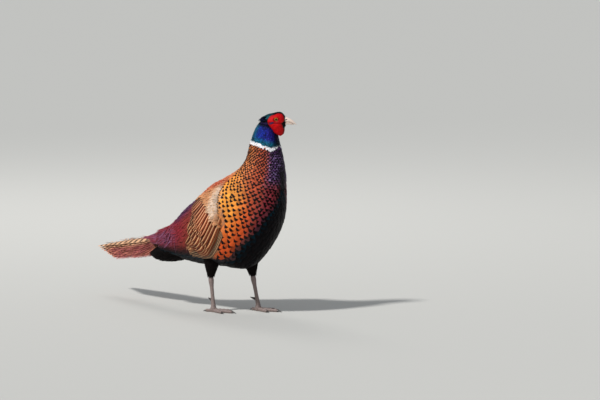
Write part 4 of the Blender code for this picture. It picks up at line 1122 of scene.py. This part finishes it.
def tail_blades(draw):
    """Spines, directions, half widths and ranks of all tail feathers, middle pair first."""
    rank, sign = (g.ravel() for g in np.meshgrid(np.linspace(0, 1, TAIL_PAIRS), (1, -1), indexing="ij"))
    v = np.linspace(0, 1, TAIL_ROWS)
    length = between((TAIL_LONG, 0.190), 1 - (1 - rank) ** TAIL_CROWD) * draw.uniform(0.975, 1.0, len(rank))
    roll = np.radians(between((26, 60), rank))[:, None]
    dip, spread = (np.radians(between(ends, rank))[:, None] for ends in ((0.0, 3.0), (0.0, 4.0)))
    out = tail_left * sign[:, None]
    heading = unit(tail_along + out * np.tan(spread) - tail_up * np.tan(dip))
    edge = TAIL_START + tail_up * between((0.0090, -0.0090), rank)[:, None]
    slope = out * np.cos(roll) - tail_up * np.sin(roll)
    normal = tail_up * np.cos(roll) + out * np.sin(roll)
    widest = between((0.0225, 0.0175), rank)
    width = widest[:, None] * np.minimum(1, 0.6 + 2.5 * v) * (1 - 0.78 * v ** 2.4)
    reach = (TAIL_ROOT + length[:, None] * v)[..., None]
    sag = (TAIL_SAG * v ** 2 * length[:, None] / TAIL_LONG)[..., None]
    spine = edge[:, None] + heading[:, None] * reach - tail_up * sag + slope[:, None] * (width / 2)[..., None]
    return spine, np.broadcast_to(normal[:, None], spine.shape), width / 2, rank, slope


tail_draw = np.random.default_rng(42)
tail_spine, tail_normal, tail_half, tail_rank, tail_slope = tail_blades(tail_draw)
tail_count = len(tail_rank)
tail_uv = np.stack([np.linspace(0.05, 0.95, tail_count), np.full(tail_count, 0.5)], -1)
# The upper pairs show cream edges, the lower ones rose
tail_edges = blend(COLOURS["tail_buff"] * np.ones((tail_count, 1)), COLOURS["tail_rose"], smooth(0.0, 0.3, tail_rank))
tail_ground = blend(COLOURS["tail_buff"] * np.ones((tail_count, 1)), COLOURS["tail_rose"], 0.8 * smooth(0.1, 0.4, tail_rank))
tail_tones = unmarked(tail_ground, tail_edges)
tail = feather_piece("tail_feathers", blades(
    tail_spine, tail_normal, tail_half, QUILL_LINES, tail_uv, varied(tail_tones, tail_draw, 0.06), tail_draw,
    thick=0.0005, camber=0.10, fray=0.0, rounding=0.2, shaft=0.0005))
dress(tail, tail_satin, "barred_tail_feathers", "tail")

# %% Fringes of the tail
FRINGE_STEPS = 46
FRINGE_LENGTH = 0.025


def fringe(draw):
    """Loose barbs that leave both edges of every tail feather."""
    feather, step, way = (g.ravel() for g in np.meshgrid(
        np.arange(tail_count), np.arange(FRINGE_STEPS), (1, -1), indexing="ij"))
    # On the upper pairs most barbs are shut, so that the bars show up to the edge
    loose = draw.random(len(step)) < 0.3 + 0.7 * smooth(0.1, 0.4, tail_rank[feather])
    feather, step, way = feather[loose], step[loose], way[loose]
    share = 0.03 + 0.80 * (step + draw.uniform(0, 1, len(step))) / FRINGE_STEPS
    at = share * (TAIL_ROWS - 1)
    i = np.minimum(at.astype(int), TAIL_ROWS - 2)
    f = (at - i)[:, None]
    middle = tail_spine[feather, i] * (1 - f) + tail_spine[feather, i + 1] * f
    half = tail_half[feather, i] * (1 - f[:, 0]) + tail_half[feather, i + 1] * f[:, 0]
    out = tail_slope[feather] * way[:, None]
    root = middle + out * (half * 0.72)[:, None]
    ahead = unit(tail_spine[feather, i + 1] - tail_spine[feather, i])
    v = np.linspace(0, 1, 5)
    long = FRINGE_LENGTH * draw.uniform(0.7, 1.2, len(step)) * (1 - 0.5 * share)
    reach = ahead[:, None] * v[:, None] + out[:, None] * (0.52 * v - 0.16 * v ** 2)[:, None]
    lift = tail_normal[feather, 0] * (0.0006 + 0.0006 * draw.random(len(step)))[:, None]
    spine = root[:, None] + reach * long[:, None, None] + lift[:, None]
    normal = tail_normal[feather, 0][:, None] + np.zeros((1, 5, 1))
    width = 0.0009 * (1 - 0.6 * v) + np.zeros((len(step), 1))
    rosy = 0.3 + 0.7 * smooth(0.05, 0.4, tail_rank[feather])
    tone = blend(tail_edges[feather], COLOURS["tail_mauve"], draw.random(len(step)) * rosy)
    uv_root = np.stack([(feather + 0.5) / tail_count, 0.1 + 0.8 * share], -1)
    colours = varied(unmarked(tone), draw, 0.25)
    return blades(spine, normal, width, (-1, 0, 1), uv_root, colours, draw, camber=0.0, fray=0.0)


tail_fringe = feather_piece("tail_fringe", fringe(np.random.default_rng(43)))
dress(tail_fringe, fine_satin, "barred_tail_feathers")

# %% Tail coverts, undertail coverts and thighs
COVERTS = 320


def tail_coverts(draw):
    """Plumes rooted round the tail's base that lie along it."""
    turn = np.radians(draw.uniform(-118, 118, COVERTS))[:, None]
    v = np.linspace(0, 1, 12)
    start = draw.uniform(-0.040, 0.020, COVERTS)
    long = draw.uniform(0.055, 0.100, COVERTS) * (1 - 0.25 * np.abs(turn[:, 0]) / 2)
    reach = start[:, None] + long[:, None] * v
    # Sunk in the rump at its root, then a little over the cone that narrows from rump to tail
    radius = np.clip(0.0195 - 0.14 * reach, 0.0085, 0.0245) - 0.0075 * (1 - v) ** 2
    radius = radius + 0.0020 * draw.random((COVERTS, 1))
    out = tail_left * np.sin(turn) + tail_up * np.cos(turn)
    spine = TAIL_START + tail_along * reach[..., None] + out[:, None] * radius[..., None]
    half = 0.0020 * np.minimum(1, 0.1 + 2 * v) * (1 - 0.7 * v ** 3) + np.zeros((COVERTS, 1))
    tone = blend(COLOURS["rump_crimson"] * np.ones((COVERTS, 1)), COLOURS["rump_purple"], draw.random(COVERTS) * 0.7)
    uv_root = np.stack([np.degrees(turn[:, 0]) / 360 + 0.5, 0.9 + start], -1)
    colours = varied(unmarked(tone), draw, 0.2)
    return blades(spine, np.broadcast_to(out[:, None], spine.shape), half, np.linspace(-1, 1, 5), uv_root,
                  colours, draw, fray=0.15)


coverts = feather_piece("tail_coverts", tail_coverts(np.random.default_rng(44)))
dress(coverts, fine_satin, "maroon_rump_feathers")
VEIL_PLUMES = 150


def rump_veil(draw):
    """Hair-like plumes that hang from the back of the rump over the tail's root."""
    v = np.linspace(0, 1, 12)
    sign = np.where(np.arange(VEIL_PLUMES) % 2, 1, -1)[:, None]
    first = draw.uniform(8.6, 9.5, (VEIL_PLUMES, 1))
    place = first + draw.uniform(0.25, 0.6, (VEIL_PLUMES, 1)) * v
    angle = draw.uniform(20, 78, (VEIL_PLUMES, 1)) + draw.uniform(20, 36, (VEIL_PLUMES, 1)) * v
    points, outwards = with_outwards(trunk, np.minimum(place, 9.95), sign * angle)
    spine = points + outwards * (0.0010 + 0.0130 * v - 0.0080 * v ** 2)[:, None]
    half = 0.0006 * (1 - 0.6 * v) + np.zeros((VEIL_PLUMES, 1))
    tone = blend(COLOURS["rump_crimson"] * np.ones((VEIL_PLUMES, 1)), COLOURS["rump_purple"], 0.7 * draw.random(VEIL_PLUMES))
    tone = blend(tone, COLOURS["lilac_painted_highlight"], 0.5 * draw.random(VEIL_PLUMES) ** 4)
    uv_root = np.stack([sign[:, 0] * angle[:, 0] / 360 + 0.5, first[:, 0] / 10], -1)
    return blades(spine, outwards, half, (-1, 0, 1), uv_root, varied(unmarked(tone), draw, 0.2), draw, fray=0.1)


veil = feather_piece("rump_veil", rump_veil(np.random.default_rng(47)))
dress(veil, fine_satin, "maroon_rump_feathers")


def even(name):
    """A tract of one colour."""
    def colours(place, angle):
        return unmarked(COLOURS[name] * np.ones_like(place)[..., None])
    return colours


# Near-black undertail coverts: partly their own dark colour, partly painted shade under the tail
under = feather_piece("undertail_coverts", coat(
    undertail, 0.0, 4.0, 0.0046, 24, even("undertail"), seed=45, rows=7, across=5, lift=0.0022, unwrap=4.0,
    overlap=0.7, spread=1.5, luck=0.3))
dress(under, dark_down, "maroon_rump_feathers")
for side in SIDES:
    drumstick = feather_piece("thigh_feathers_" + side, coat(
        thigh_of(side), 0.0, 5.0, 0.0030, 24, even("thigh"), seed=46, rows=7, across=5, depth=0.0018,
        lift=0.0010, warp=0.0, unwrap=5.0))
    dress(drumstick, dark_down, "dark_thigh_feathers")

# %% [markdown]
# ## Face
# A cock's face is bare skin, swollen in spring: a lobe over the eye, a crease, and a wattle that hangs past
# the jaw. Under a lens it is velvet of tiny papillae. They are raised as real bumps here, one dome round
# each of many scattered seeds, because they catch the light one by one. The skin is laid in rings from the
# lid's margin to the outline, so that the lids close round the eyeball.
# Their red is painted with light and shade too: lighter on each papilla's top, darker between them, in the crease and
# on the back of the flap.

# %% Bare face
FACE_OVER_SKULL = 0.0012
FACE_DOME = (0.0120, -0.0150, 0.0200, 0.0300, 0.0175)
FACE_LEAST = 0.05
FACE_THICK, FACE_RIM = 0.0050, 0.0004
LID_RADIUS = 0.0044
LID_DEPTH = 0.0178
PAPILLA_PITCH, PAPILLA_RISE = 0.00140, 0.00052
FACE_RINGS, FACE_SPOKES = 64, 220


def face_depth(x, z):
    """How far the face stands out from the head's middle plane: the skull and the lobe, blended."""
    rows = np.array(HEAD_ROWS)[::-1]
    middle, half, width = (np.interp(x, rows[:, 0], rows[:, i]) for i in (1, 2, 3))
    skull_width = width * np.sqrt(np.maximum(FACE_LEAST, 1 - ((z - middle) / half) ** 2))
    middle_x, middle_z, size_x, size_z, bulge = FACE_DOME
    inside = 1 - ((x - middle_x) / size_x) ** 2 - ((z - middle_z) / size_z) ** 2
    lobe = bulge * np.sqrt(np.maximum(FACE_LEAST, inside))
    return ((skull_width + FACE_OVER_SKULL) ** 4 + lobe ** 4) ** 0.25


def papillae(x, z, draw):
    """Height of the velvet, 0 to 1: domes round seeds in a shaken hexagonal grid."""
    row, column = (g.ravel() for g in np.meshgrid(np.arange(-26, 27), np.arange(-26, 27), indexing="ij"))
    seeds = np.stack([column + 0.5 * (row % 2), row * 0.87], -1) * PAPILLA_PITCH
    seeds = seeds + draw.uniform(-0.28, 0.28, seeds.shape) * PAPILLA_PITCH
    here = np.stack([x - FACE_MIDDLE[0], z - FACE_MIDDLE[1]], -1).reshape(-1, 1, 2)
    away = np.concatenate([
        np.linalg.norm(part - seeds, axis=-1).min(axis=1) for part in np.array_split(here, 20)
    ])
    return np.clip(1 - (away / (0.62 * PAPILLA_PITCH)) ** 2, 0, 1).reshape(x.shape)


def make_face(side):
    """The flap of one side with its lids, and the painted light and shade of its skin: lighter on the papillae,
    darker between them, in the crease and on the flap's back.
    """
    sign = SIDES[side]
    share, bearing = np.meshgrid(np.linspace(0, 1, FACE_RINGS) ** 0.9, np.arange(FACE_SPOKES) * 360 / FACE_SPOKES,
                                 indexing="ij")
    turn = np.radians(bearing)
    reach = np.interp(bearing, *FACE_REACH)
    # The slit is wider than high, a little flatter above, and drawn out towards the bill
    lid_x = EYE_MIDDLE.x + LID_RADIUS * (1.04 * np.cos(turn) + 0.06 * np.cos(turn) ** 3)
    lid_z = EYE_MIDDLE.z + LID_RADIUS * np.sin(turn) * np.where(np.sin(turn) > 0, 0.80, 0.90)
    x = lid_x + (FACE_MIDDLE[0] + reach * np.cos(turn) - lid_x) * share
    z = lid_z + (FACE_MIDDLE[1] + reach * np.sin(turn) - lid_z) * share
    out = face_share(x, z)
    half = FACE_THICK / 2 * np.sqrt(np.clip(1 - out ** 3, 0, 1)) + FACE_RIM / 2
    crease = 0.0012 * np.exp(-(((z + 0.0040 + 0.13 * x) / 0.0018) ** 2)) * smooth(0, 0.2, share)
    velvet = papillae(x, z, np.random.default_rng(51)) * smooth(0.10, 0.2, share) * (1 - out ** 8)
    swell = 0.0005 * np.sin(x * 620 + 1.0) * np.sin(z * 540 + 260 * x) * (1 - out ** 4)
    y = face_depth(x, z) - 0.0010 + half + swell - crease * (1 - out ** 4) + PAPILLA_RISE * velvet
    away = np.hypot(x - EYE_MIDDLE.x, z - EYE_MIDDLE.z) - LID_RADIUS
    near_eye = 1 - smooth(0.0, 0.0036, away)
    lid = 0.0007 * np.exp(-(((away - 0.0006) / 0.0006) ** 2)) + 0.0004 * np.exp(-(((away - 0.0022) / 0.0005) ** 2))
    y = y + (LID_DEPTH + 0.0008 - y) * near_eye + lid
    back_y = face_depth(x, z) - 0.0010 - half
    front = np.stack([x, sign * y, z], -1)
    rear = np.stack([x, sign * np.minimum(back_y, y - 0.0004), z], -1)[::-4]
    # Lid's margin first, out over the face, round the rim, and back behind it
    rings = on_head(np.concatenate([front, rear]))
    rings = np.concatenate([rings, rings[:1]])
    points, faces = loft(rings if sign < 0 else rings[:, ::-1], closed_ends=False)
    # Painted light and shade: papilla tops lighter, the ground between them and the crease darker, the flap's back
    # dark
    shade = np.concatenate([velvet * 0.5 + 0.5 - 260 * crease, np.full(rear.shape[:2], 0.4)])
    shade = np.concatenate([shade, shade[:1]])
    return points, faces, (shade if sign < 0 else shade[:, ::-1]).ravel()


face_red, face_tree, face_shader = new_material("velvety_red_skin", Roughness=0.55, IOR=1.42, Specular_IOR_Level=0.18)
face_shader.inputs["Subsurface Weight"].default_value = 0.12
face_shader.inputs["Subsurface Radius"].default_value = (0.0030, 0.0006, 0.0004)
face_shader.inputs["Subsurface Scale"].default_value = 1.0
face_hue = add(face_tree, "TexNoise", {"Scale": 160.0, "Detail": 3.0})
face_tone = mix(face_tree, face_hue.outputs["Fac"], rgba("#B0000E"), rgba("#F4060E"))
# The painted light and shade scales the face's red
face_painted_shade = add(face_tree, "Attribute", attribute_name="height")
face_lit = add(face_tree, "VectorMath", {0: face_tone, "Scale": face_painted_shade.outputs["Fac"]}, operation="SCALE")
face_tree.links.new(face_lit.outputs[0], face_shader.inputs["Base Color"])
for side in SIDES:
    face_points, face_faces, face_shade = make_face(side)
    face = mesh_object("face_skin_" + side, face_points, face_faces)
    write_attribute(face.data, "height", face_shade)
    dress(face, face_red, "red_face_skin", "face_" + side)
    print(face.name, len(face.data.polygons), "faces")

# %% Mark of tiny feathers behind the eye
MARK_MIDDLE, MARK_HALF, MARK_BLADES = (0.0018, -0.0042), (0.0050, 0.0020), 150


def face_mark(side, draw):
    """A short dark line of tiny feathers on the bare skin, from below the eye backwards."""
    sign = SIDES[side]
    turn, reach = draw.uniform(0, 2 * math.pi, MARK_BLADES), np.sqrt(draw.random(MARK_BLADES))
    x = MARK_MIDDLE[0] + MARK_HALF[0] * reach * np.cos(turn)
    z = MARK_MIDDLE[1] + MARK_HALF[1] * reach * np.sin(turn) + 0.25 * (x - MARK_MIDDLE[0])
    v = np.linspace(0, 1, 5)
    long = draw.uniform(0.0012, 0.0020, MARK_BLADES)[:, None]
    x, z = x[:, None] - long * v, z[:, None] - 0.35 * long * v
    y = face_depth(x, z) - 0.0010 + FACE_THICK / 2 + PAPILLA_RISE + 0.0004 * v
    spine = on_head(np.stack([x, sign * y, z], -1))
    outwards = np.broadcast_to(np.array(HEAD_PLACE)[:3, :3] @ (0.0, sign, 0.0), spine.shape)
    half = 0.00026 * (1 - 0.7 * v ** 2) + np.zeros((MARK_BLADES, 1))
    # Black feathers, some tinted with violet painted sheen
    tone = blend(COLOURS["neck_black"] * np.ones((MARK_BLADES, 1)), COLOURS["cheek_violet_painted_sheen"], 0.5 * draw.random(MARK_BLADES))
    uv_root = np.stack([0.5 + sign * 0.3 + 5 * (x[:, 0] - MARK_MIDDLE[0]), 0.5 + 5 * (z[:, 0] - MARK_MIDDLE[1])], -1)
    return blades(spine, outwards, half, (-1, 0, 1), uv_root, unmarked(tone), draw, thick=0.0001, fray=0.1)


mark_draw = np.random.default_rng(52)
marks = feather_piece("face_marks", [face_mark(side, mark_draw) for side in SIDES])
dress(marks, fine_satin, "glossy_neck_feathers")

# %% [markdown]
# ## Eyes
# The eyeball is a wet sphere with a clear bulge over pupil and iris. A pheasant's iris is amber to orange
# with fine spokes. The colours are told by the angle from the way the eye looks.

# %% Eyeballs
EYE_RADIUS = 0.0056
CORNEA_BULGE = 0.0007
EYE_RINGS, EYE_SPOKES = 48, 64
eye_wet, eye_tree, eye_shader = new_material("wet_amber_eye", Roughness=0.08, IOR=1.38)
eye_shader.inputs["Coat Weight"].default_value = 0.4
eye_shader.inputs["Coat Roughness"].default_value = 0.03
eye_shader.inputs["Specular IOR Level"].default_value = 0.25
polar = add(eye_tree, "Attribute", attribute_name="polar")
polar_parts = add(eye_tree, "SeparateXYZ", {"Vector": polar.outputs["Vector"]})
spokes = add(eye_tree, "TexNoise", {"Vector": polar.outputs["Vector"], "Scale": 9.0, "Detail": 4.0})
iris = mix(eye_tree, spokes.outputs["Fac"], rgba("#7A3006"), rgba("#E8963A"))
limbus = band(eye_tree, polar_parts.outputs["X"], (0.72, 0.84))
ball_tone = mix(eye_tree, limbus, iris, rgba("#140A06"))
pupil = band(eye_tree, polar_parts.outputs["X"], (0.38, 0.42))
eye_tree.links.new(mix(eye_tree, pupil, rgba("#020203"), ball_tone), eye_shader.inputs["Base Color"])


def make_eye(side):
    """An eyeball that looks straight out of the head, with its polar places."""
    sign = SIDES[side]
    tilt, turn = np.meshgrid(np.radians(np.linspace(1, 179, EYE_RINGS)),
                             np.arange(EYE_SPOKES) * 2 * math.pi / EYE_SPOKES, indexing="ij")
    radius = EYE_RADIUS + CORNEA_BULGE * (1 - smooth(0.3, 0.95, tilt))
    rings = np.stack([
        EYE_MIDDLE.x + radius * np.sin(tilt) * np.cos(turn),
        sign * (EYE_MIDDLE.y + radius * np.cos(tilt)),
        EYE_MIDDLE.z + radius * np.sin(tilt) * np.sin(turn),
    ], -1)
    points, faces = loft(on_head(rings if sign > 0 else rings[:, ::-1]))
    eye = mesh_object("eyeball_" + side, points, faces)
    # Distance from the pupil's middle in radians, then a place round it for the iris's spokes
    place = np.stack([tilt, np.cos(turn) * 1.2, np.sin(turn) * 1.2], -1)
    write_attribute(eye.data, "polar", (place if sign > 0 else place[:, ::-1]).reshape(-1, 3))
    dress(eye, eye_wet, "amber_eye", "eye_" + side)


for side in SIDES:
    make_eye(side)

# %% [markdown]
# ## Bill
# The bill is horn, pale ivory with a pink cast, bent down to a point over the lower half. A flap of skin
# arches over each nostril. Horn grows from the base outwards, so fine lines run across it and it is
# darker at the root.

# %% Both halves of the bill
UPPER_BILL_ROWS = (
    (0.0245, 0.0045, -0.0066, 0.0068), (0.0290, 0.0052, -0.0058, 0.0062), (0.0365, 0.0028, -0.0062, 0.0050),
    (0.0430, -0.0013, -0.0082, 0.0038), (0.0485, -0.0064, -0.0107, 0.0024), (0.0522, -0.0120, -0.0132, 0.0008),
)
LOWER_BILL_ROWS = (
    (0.0245, -0.0062, -0.0114, 0.0060), (0.0300, -0.0053, -0.0110, 0.0054), (0.0365, -0.0057, -0.0107, 0.0042),
    (0.0420, -0.0075, -0.0116, 0.0029), (0.0466, -0.0102, -0.0125, 0.0010),
)
NOSTRIL = (0.0318, 0.0000)


def bill_half(rows, hollowed):
    """Points and faces of one half, and a tone at each point: lighter away from the root, and darker in the
    nostril slot as painted shade. The upper one is hollowed at its nostrils.
    """
    rows = np.array(rows)
    place, turn = np.meshgrid(np.linspace(0, len(rows) - 1, 80), np.arange(64) * 2 * math.pi / 64, indexing="ij")
    x, top, bottom, width = np.moveaxis(smooth_rows(rows, place), -1, 0)
    middle, half = (top + bottom) / 2, (top - bottom) / 2
    # The side that meets the other half is flat, so that the cutting edges close
    facing = np.cos(turn) * (-1 if hollowed else 1)
    squared = np.where(facing > 0, facing ** 0.4, facing) * (-1 if hollowed else 1)
    y, z = width * np.sin(turn), middle + half * squared
    if hollowed:
        slot = np.exp(-((x - NOSTRIL[0]) / 0.0020) ** 2 - ((z - NOSTRIL[1]) / 0.0007) ** 2)
        flap = np.exp(-((x - NOSTRIL[0] + 0.0004) / 0.0032) ** 2 - ((z - NOSTRIL[1] - 0.0018) / 0.0010) ** 2)
        y = y * (1 - 0.42 * slot + 0.14 * flap)
        z = z + 0.0004 * np.exp(-(np.sin(turn) / 0.25) ** 2) * (np.cos(turn) > 0) * smooth(0, 1.5, place)
    else:
        slot = np.zeros_like(x)
    # The tone's slot term is painted shade in the nostril
    return *loft(on_head(np.stack([x, y, z], -1)[:, ::-1])), (0.28 * place - 1.2 * slot)[:, ::-1].ravel()


horn, horn_tree, horn_shader = new_material("ivory_horn", Roughness=0.32, IOR=1.54)
horn_shader.inputs["Subsurface Weight"].default_value = 0.08
horn_shader.inputs["Subsurface Radius"].default_value = (0.0020, 0.0012, 0.0008)
horn_shader.inputs["Subsurface Scale"].default_value = 1.0
# The horn is darker towards its root with age, and darker in the nostril slot as painted shade
age_and_painted_shade = add(horn_tree, "Attribute", attribute_name="height")
grown = add(horn_tree, "TexNoise", {"Scale": 260.0, "Detail": 4.0})
aged_with_painted_shade = add(horn_tree, "Math", {0: grown.outputs["Fac"], 1: 0.35, 2: age_and_painted_shade.outputs["Fac"]},
           operation="MULTIPLY_ADD")
horn_tone = mix(horn_tree, band(horn_tree, aged_with_painted_shade.outputs[0], (0.10, 0.55)), rgba("#8E7468"), rgba("#E9D3C4"))
horn_tree.links.new(horn_tone, horn_shader.inputs["Base Color"])
horn_bump = add(horn_tree, "Bump", {"Height": grown.outputs["Fac"], "Strength": 0.25, "Distance": 0.0002})
horn_tree.links.new(horn_bump.outputs["Normal"], horn_shader.inputs["Normal"])
for name, rows, hollowed in (("upper", UPPER_BILL_ROWS, True), ("lower", LOWER_BILL_ROWS, False)):
    bill_points, bill_faces, bill_age_and_painted_shade = bill_half(rows, hollowed)
    bill = mesh_object("bill_horn_" + name, bill_points, bill_faces)
    write_attribute(bill.data, "height", bill_age_and_painted_shade)
    dress(bill, horn, "ivory_bill", "bill_" + name)

# %% [markdown]
# ## Legs and feet
# The shank and toes are bare and scaled: broad overlapping scutes in front and on the toes' tops, small
# round scales elsewhere, and soft pads below. Scutes are raised in the mesh with a saw-tooth profile. The
# photograph does not show the feet, so they follow the species. A cock carries a spur on each shank.

# %% Bars with relief
def bar(points, radii, spokes, up=(0.0, 0.0, 1.0), relief=None):
    """Rings square to a run of points. relief(share along, angle) says how far a point stands out."""
    points, radii = np.asarray(points, float), np.asarray(radii, float)
    ahead = unit(np.gradient(points, axis=0))
    side = unit(np.cross(ahead, up))
    over = np.cross(side, ahead)
    turn = np.arange(spokes) * 2 * math.pi / spokes
    radius = radii[:, None] + np.zeros(spokes)
    if relief is not None:
        radius = radius + relief(np.linspace(0, 1, len(points))[:, None], turn)
    ring = side[:, None] * np.cos(turn)[:, None] + over[:, None] * np.sin(turn)[:, None]
    return points[:, None] + radius[..., None] * ring


def scutes(count, rise, middle=math.pi / 2, half=1.3):
    """Saw-tooth plates across one side of a bar, and small scales round the rest."""
    def relief(share, turn):
        tooth = 1 - (share * count) % 1.0
        off = np.abs((turn - middle + math.pi) % (2 * math.pi) - math.pi)
        plate = rise * (tooth ** 0.6 - 0.5) * (1 - smooth(half * 0.8, half, off))
        grain = 0.4 * rise * np.cos(turn * 7) * np.cos(share * count * 2 * math.pi * 1.6)
        return plate + grain * smooth(half * 0.8, half, off)
    return relief


leg_skin, leg_tree, leg_shader = new_material("scaly_leg_skin", Roughness=0.5, IOR=1.48)
leg_noise = add(leg_tree, "TexNoise", {"Scale": 130.0, "Detail": 4.0})
leg_cells = add(leg_tree, "TexVoronoi", {"Scale": 520.0})
leg_tone = mix(leg_tree, band(leg_tree, leg_noise.outputs["Fac"], (0.35, 0.65)), rgba("#7A6A66"), rgba("#AC978E"))
seams = band(leg_tree, leg_cells.outputs["Distance"], (0.45, 0.75))
leg_tone = mix(leg_tree, seams, leg_tone, rgba("#544644"))
leg_tree.links.new(leg_tone, leg_shader.inputs["Base Color"])
leg_bump = add(leg_tree, "Bump", {"Height": leg_cells.outputs["Distance"], "Strength": 0.35, "Distance": 0.0004})
leg_tree.links.new(leg_bump.outputs["Normal"], leg_shader.inputs["Normal"])
claw_horn, claw_tree, claw_shader = new_material("dark_horn", Roughness=0.35, IOR=1.54)
claw_shader.inputs["Base Color"].default_value = rgba("#2A211C")
print("Leg finishes made")

# %% Shanks and spurs
FOOT_TOP = 0.0125
SHANK_RADII = ((-0.08, 0.0, 0.12, 0.3, 0.6, 0.88, 1.0), (0.0030, 0.0054, 0.0058, 0.0042, 0.0038, 0.0046, 0.0052))
SPUR_PLACE, SPUR_REACH = 0.66, (-0.0135, 0.0040, 0.0030)
for side, sign in SIDES.items():
    ankle, foot_middle = ankle_of(side), np.array([FOOT_X[side], sign * LEG_SIDE, 0.0])
    share = np.linspace(-0.08, 1, 96)
    run = ankle + (foot_middle + (0, 0, FOOT_TOP) - ankle) * share[:, None]
    rings = bar(run, np.interp(share, *SHANK_RADII), 36, up=(1.0, 0.0, 0.0), relief=scutes(15, 0.0006))
    shank = mesh_object("shank_scutes_" + side, *loft(rings))
    dress(shank, leg_skin, "grey_leg_scales", "shank_" + side)
    root = ankle + (foot_middle - ankle) * SPUR_PLACE
    reach = np.array([SPUR_REACH[0], -sign * SPUR_REACH[1], SPUR_REACH[2]])
    share = np.linspace(0, 1, 16)
    run = root + reach * share[:, None] + np.array([0, 0, 0.0012]) * (share ** 2)[:, None]
    spur = mesh_object("spur_horn_" + side, *loft(bar(run, 0.0031 * (1 - share ** 1.4) + 0.0004, 18)))
    dress(spur, claw_horn, "dark_claw_horn", "spur_" + side)

# %% Feet and claws
# Name, bearing from straight ahead towards the outside, length, radius at root and tip, claw length
TOES = (
    ("inner", -27, 0.0330, 0.0040, 0.0030, 0.0095),
    ("middle", 2, 0.0460, 0.0043, 0.0030, 0.0110),
    ("outer", 30, 0.0350, 0.0039, 0.0029, 0.0090),
    ("hind", 170, 0.0150, 0.0034, 0.0028, 0.0075),
)
SOLE_ROWS = ((0.0125, 0.0090, 0.0040, 0.0), (0.0052, 0.0066, 0.0070, 0.0058))
TOE_START, TOE_HEIGHT = 0.0020, 0.82
for side, sign in SIDES.items():
    foot_middle = np.array([FOOT_X[side], sign * LEG_SIDE, 0.0])
    heights = np.linspace(0.0130, 0.0002, 14)
    level = foot_middle + np.stack([0 * heights, 0 * heights, heights], -1)
    radii = np.interp(heights, SOLE_ROWS[0][::-1], SOLE_ROWS[1][::-1])
    parts = [loft(bar(level, radii, 28, up=(1.0, 0.0, 0.0), relief=scutes(5, 0.0003)))]
    for toe, bearing, length, thick, thin, claw_length in TOES:
        turn = math.radians(bearing) * sign
        heading = np.array([math.cos(turn), math.sin(turn), 0.0])
        share = np.linspace(0, 1, 60)
        radii = thick + (thin - thick) * share + 0.0005 * np.sin(4 * math.pi * share) ** 2
        run = foot_middle + heading * (TOE_START + length * share)[:, None]
        run[:, 2] = radii * TOE_HEIGHT
        rings = bar(run, radii * np.sqrt(np.clip(1 - (share - 0.9) ** 2 * 60 * (share > 0.9), 0.2, 1)), 24,
                    relief=scutes(round(length / 0.0026), 0.00045))
        rings[..., 2] = np.maximum(rings[..., 2], 0.0002)
        parts.append(loft(rings))
        share = np.linspace(0, 1, 18)
        radii = 0.72 * thin * (1 - 0.88 * share)
        run = foot_middle + heading * (TOE_START + length - 0.0006 + claw_length * share)[:, None]
        run[:, 2] = thin * TOE_HEIGHT * (1 - share ** 1.6) + (radii + 0.0004) * share
        claw = mesh_object("claw_horn_" + side + "_" + toe, *loft(bar(run, radii, 16)))
        dress(claw, claw_horn, "dark_claw_horn", "claw_" + side + "_" + toe)
    foot = mesh_object("foot_scales_" + side, *joined(parts))
    dress(foot, leg_skin, "grey_leg_scales", "foot_" + side)
print("Feet done")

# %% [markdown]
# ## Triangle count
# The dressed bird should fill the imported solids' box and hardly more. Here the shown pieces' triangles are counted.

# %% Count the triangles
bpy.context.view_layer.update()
shown = [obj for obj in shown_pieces()]
print("Triangles:", sum(len(face.vertices) - 2 for obj in shown for face in obj.data.polygons))
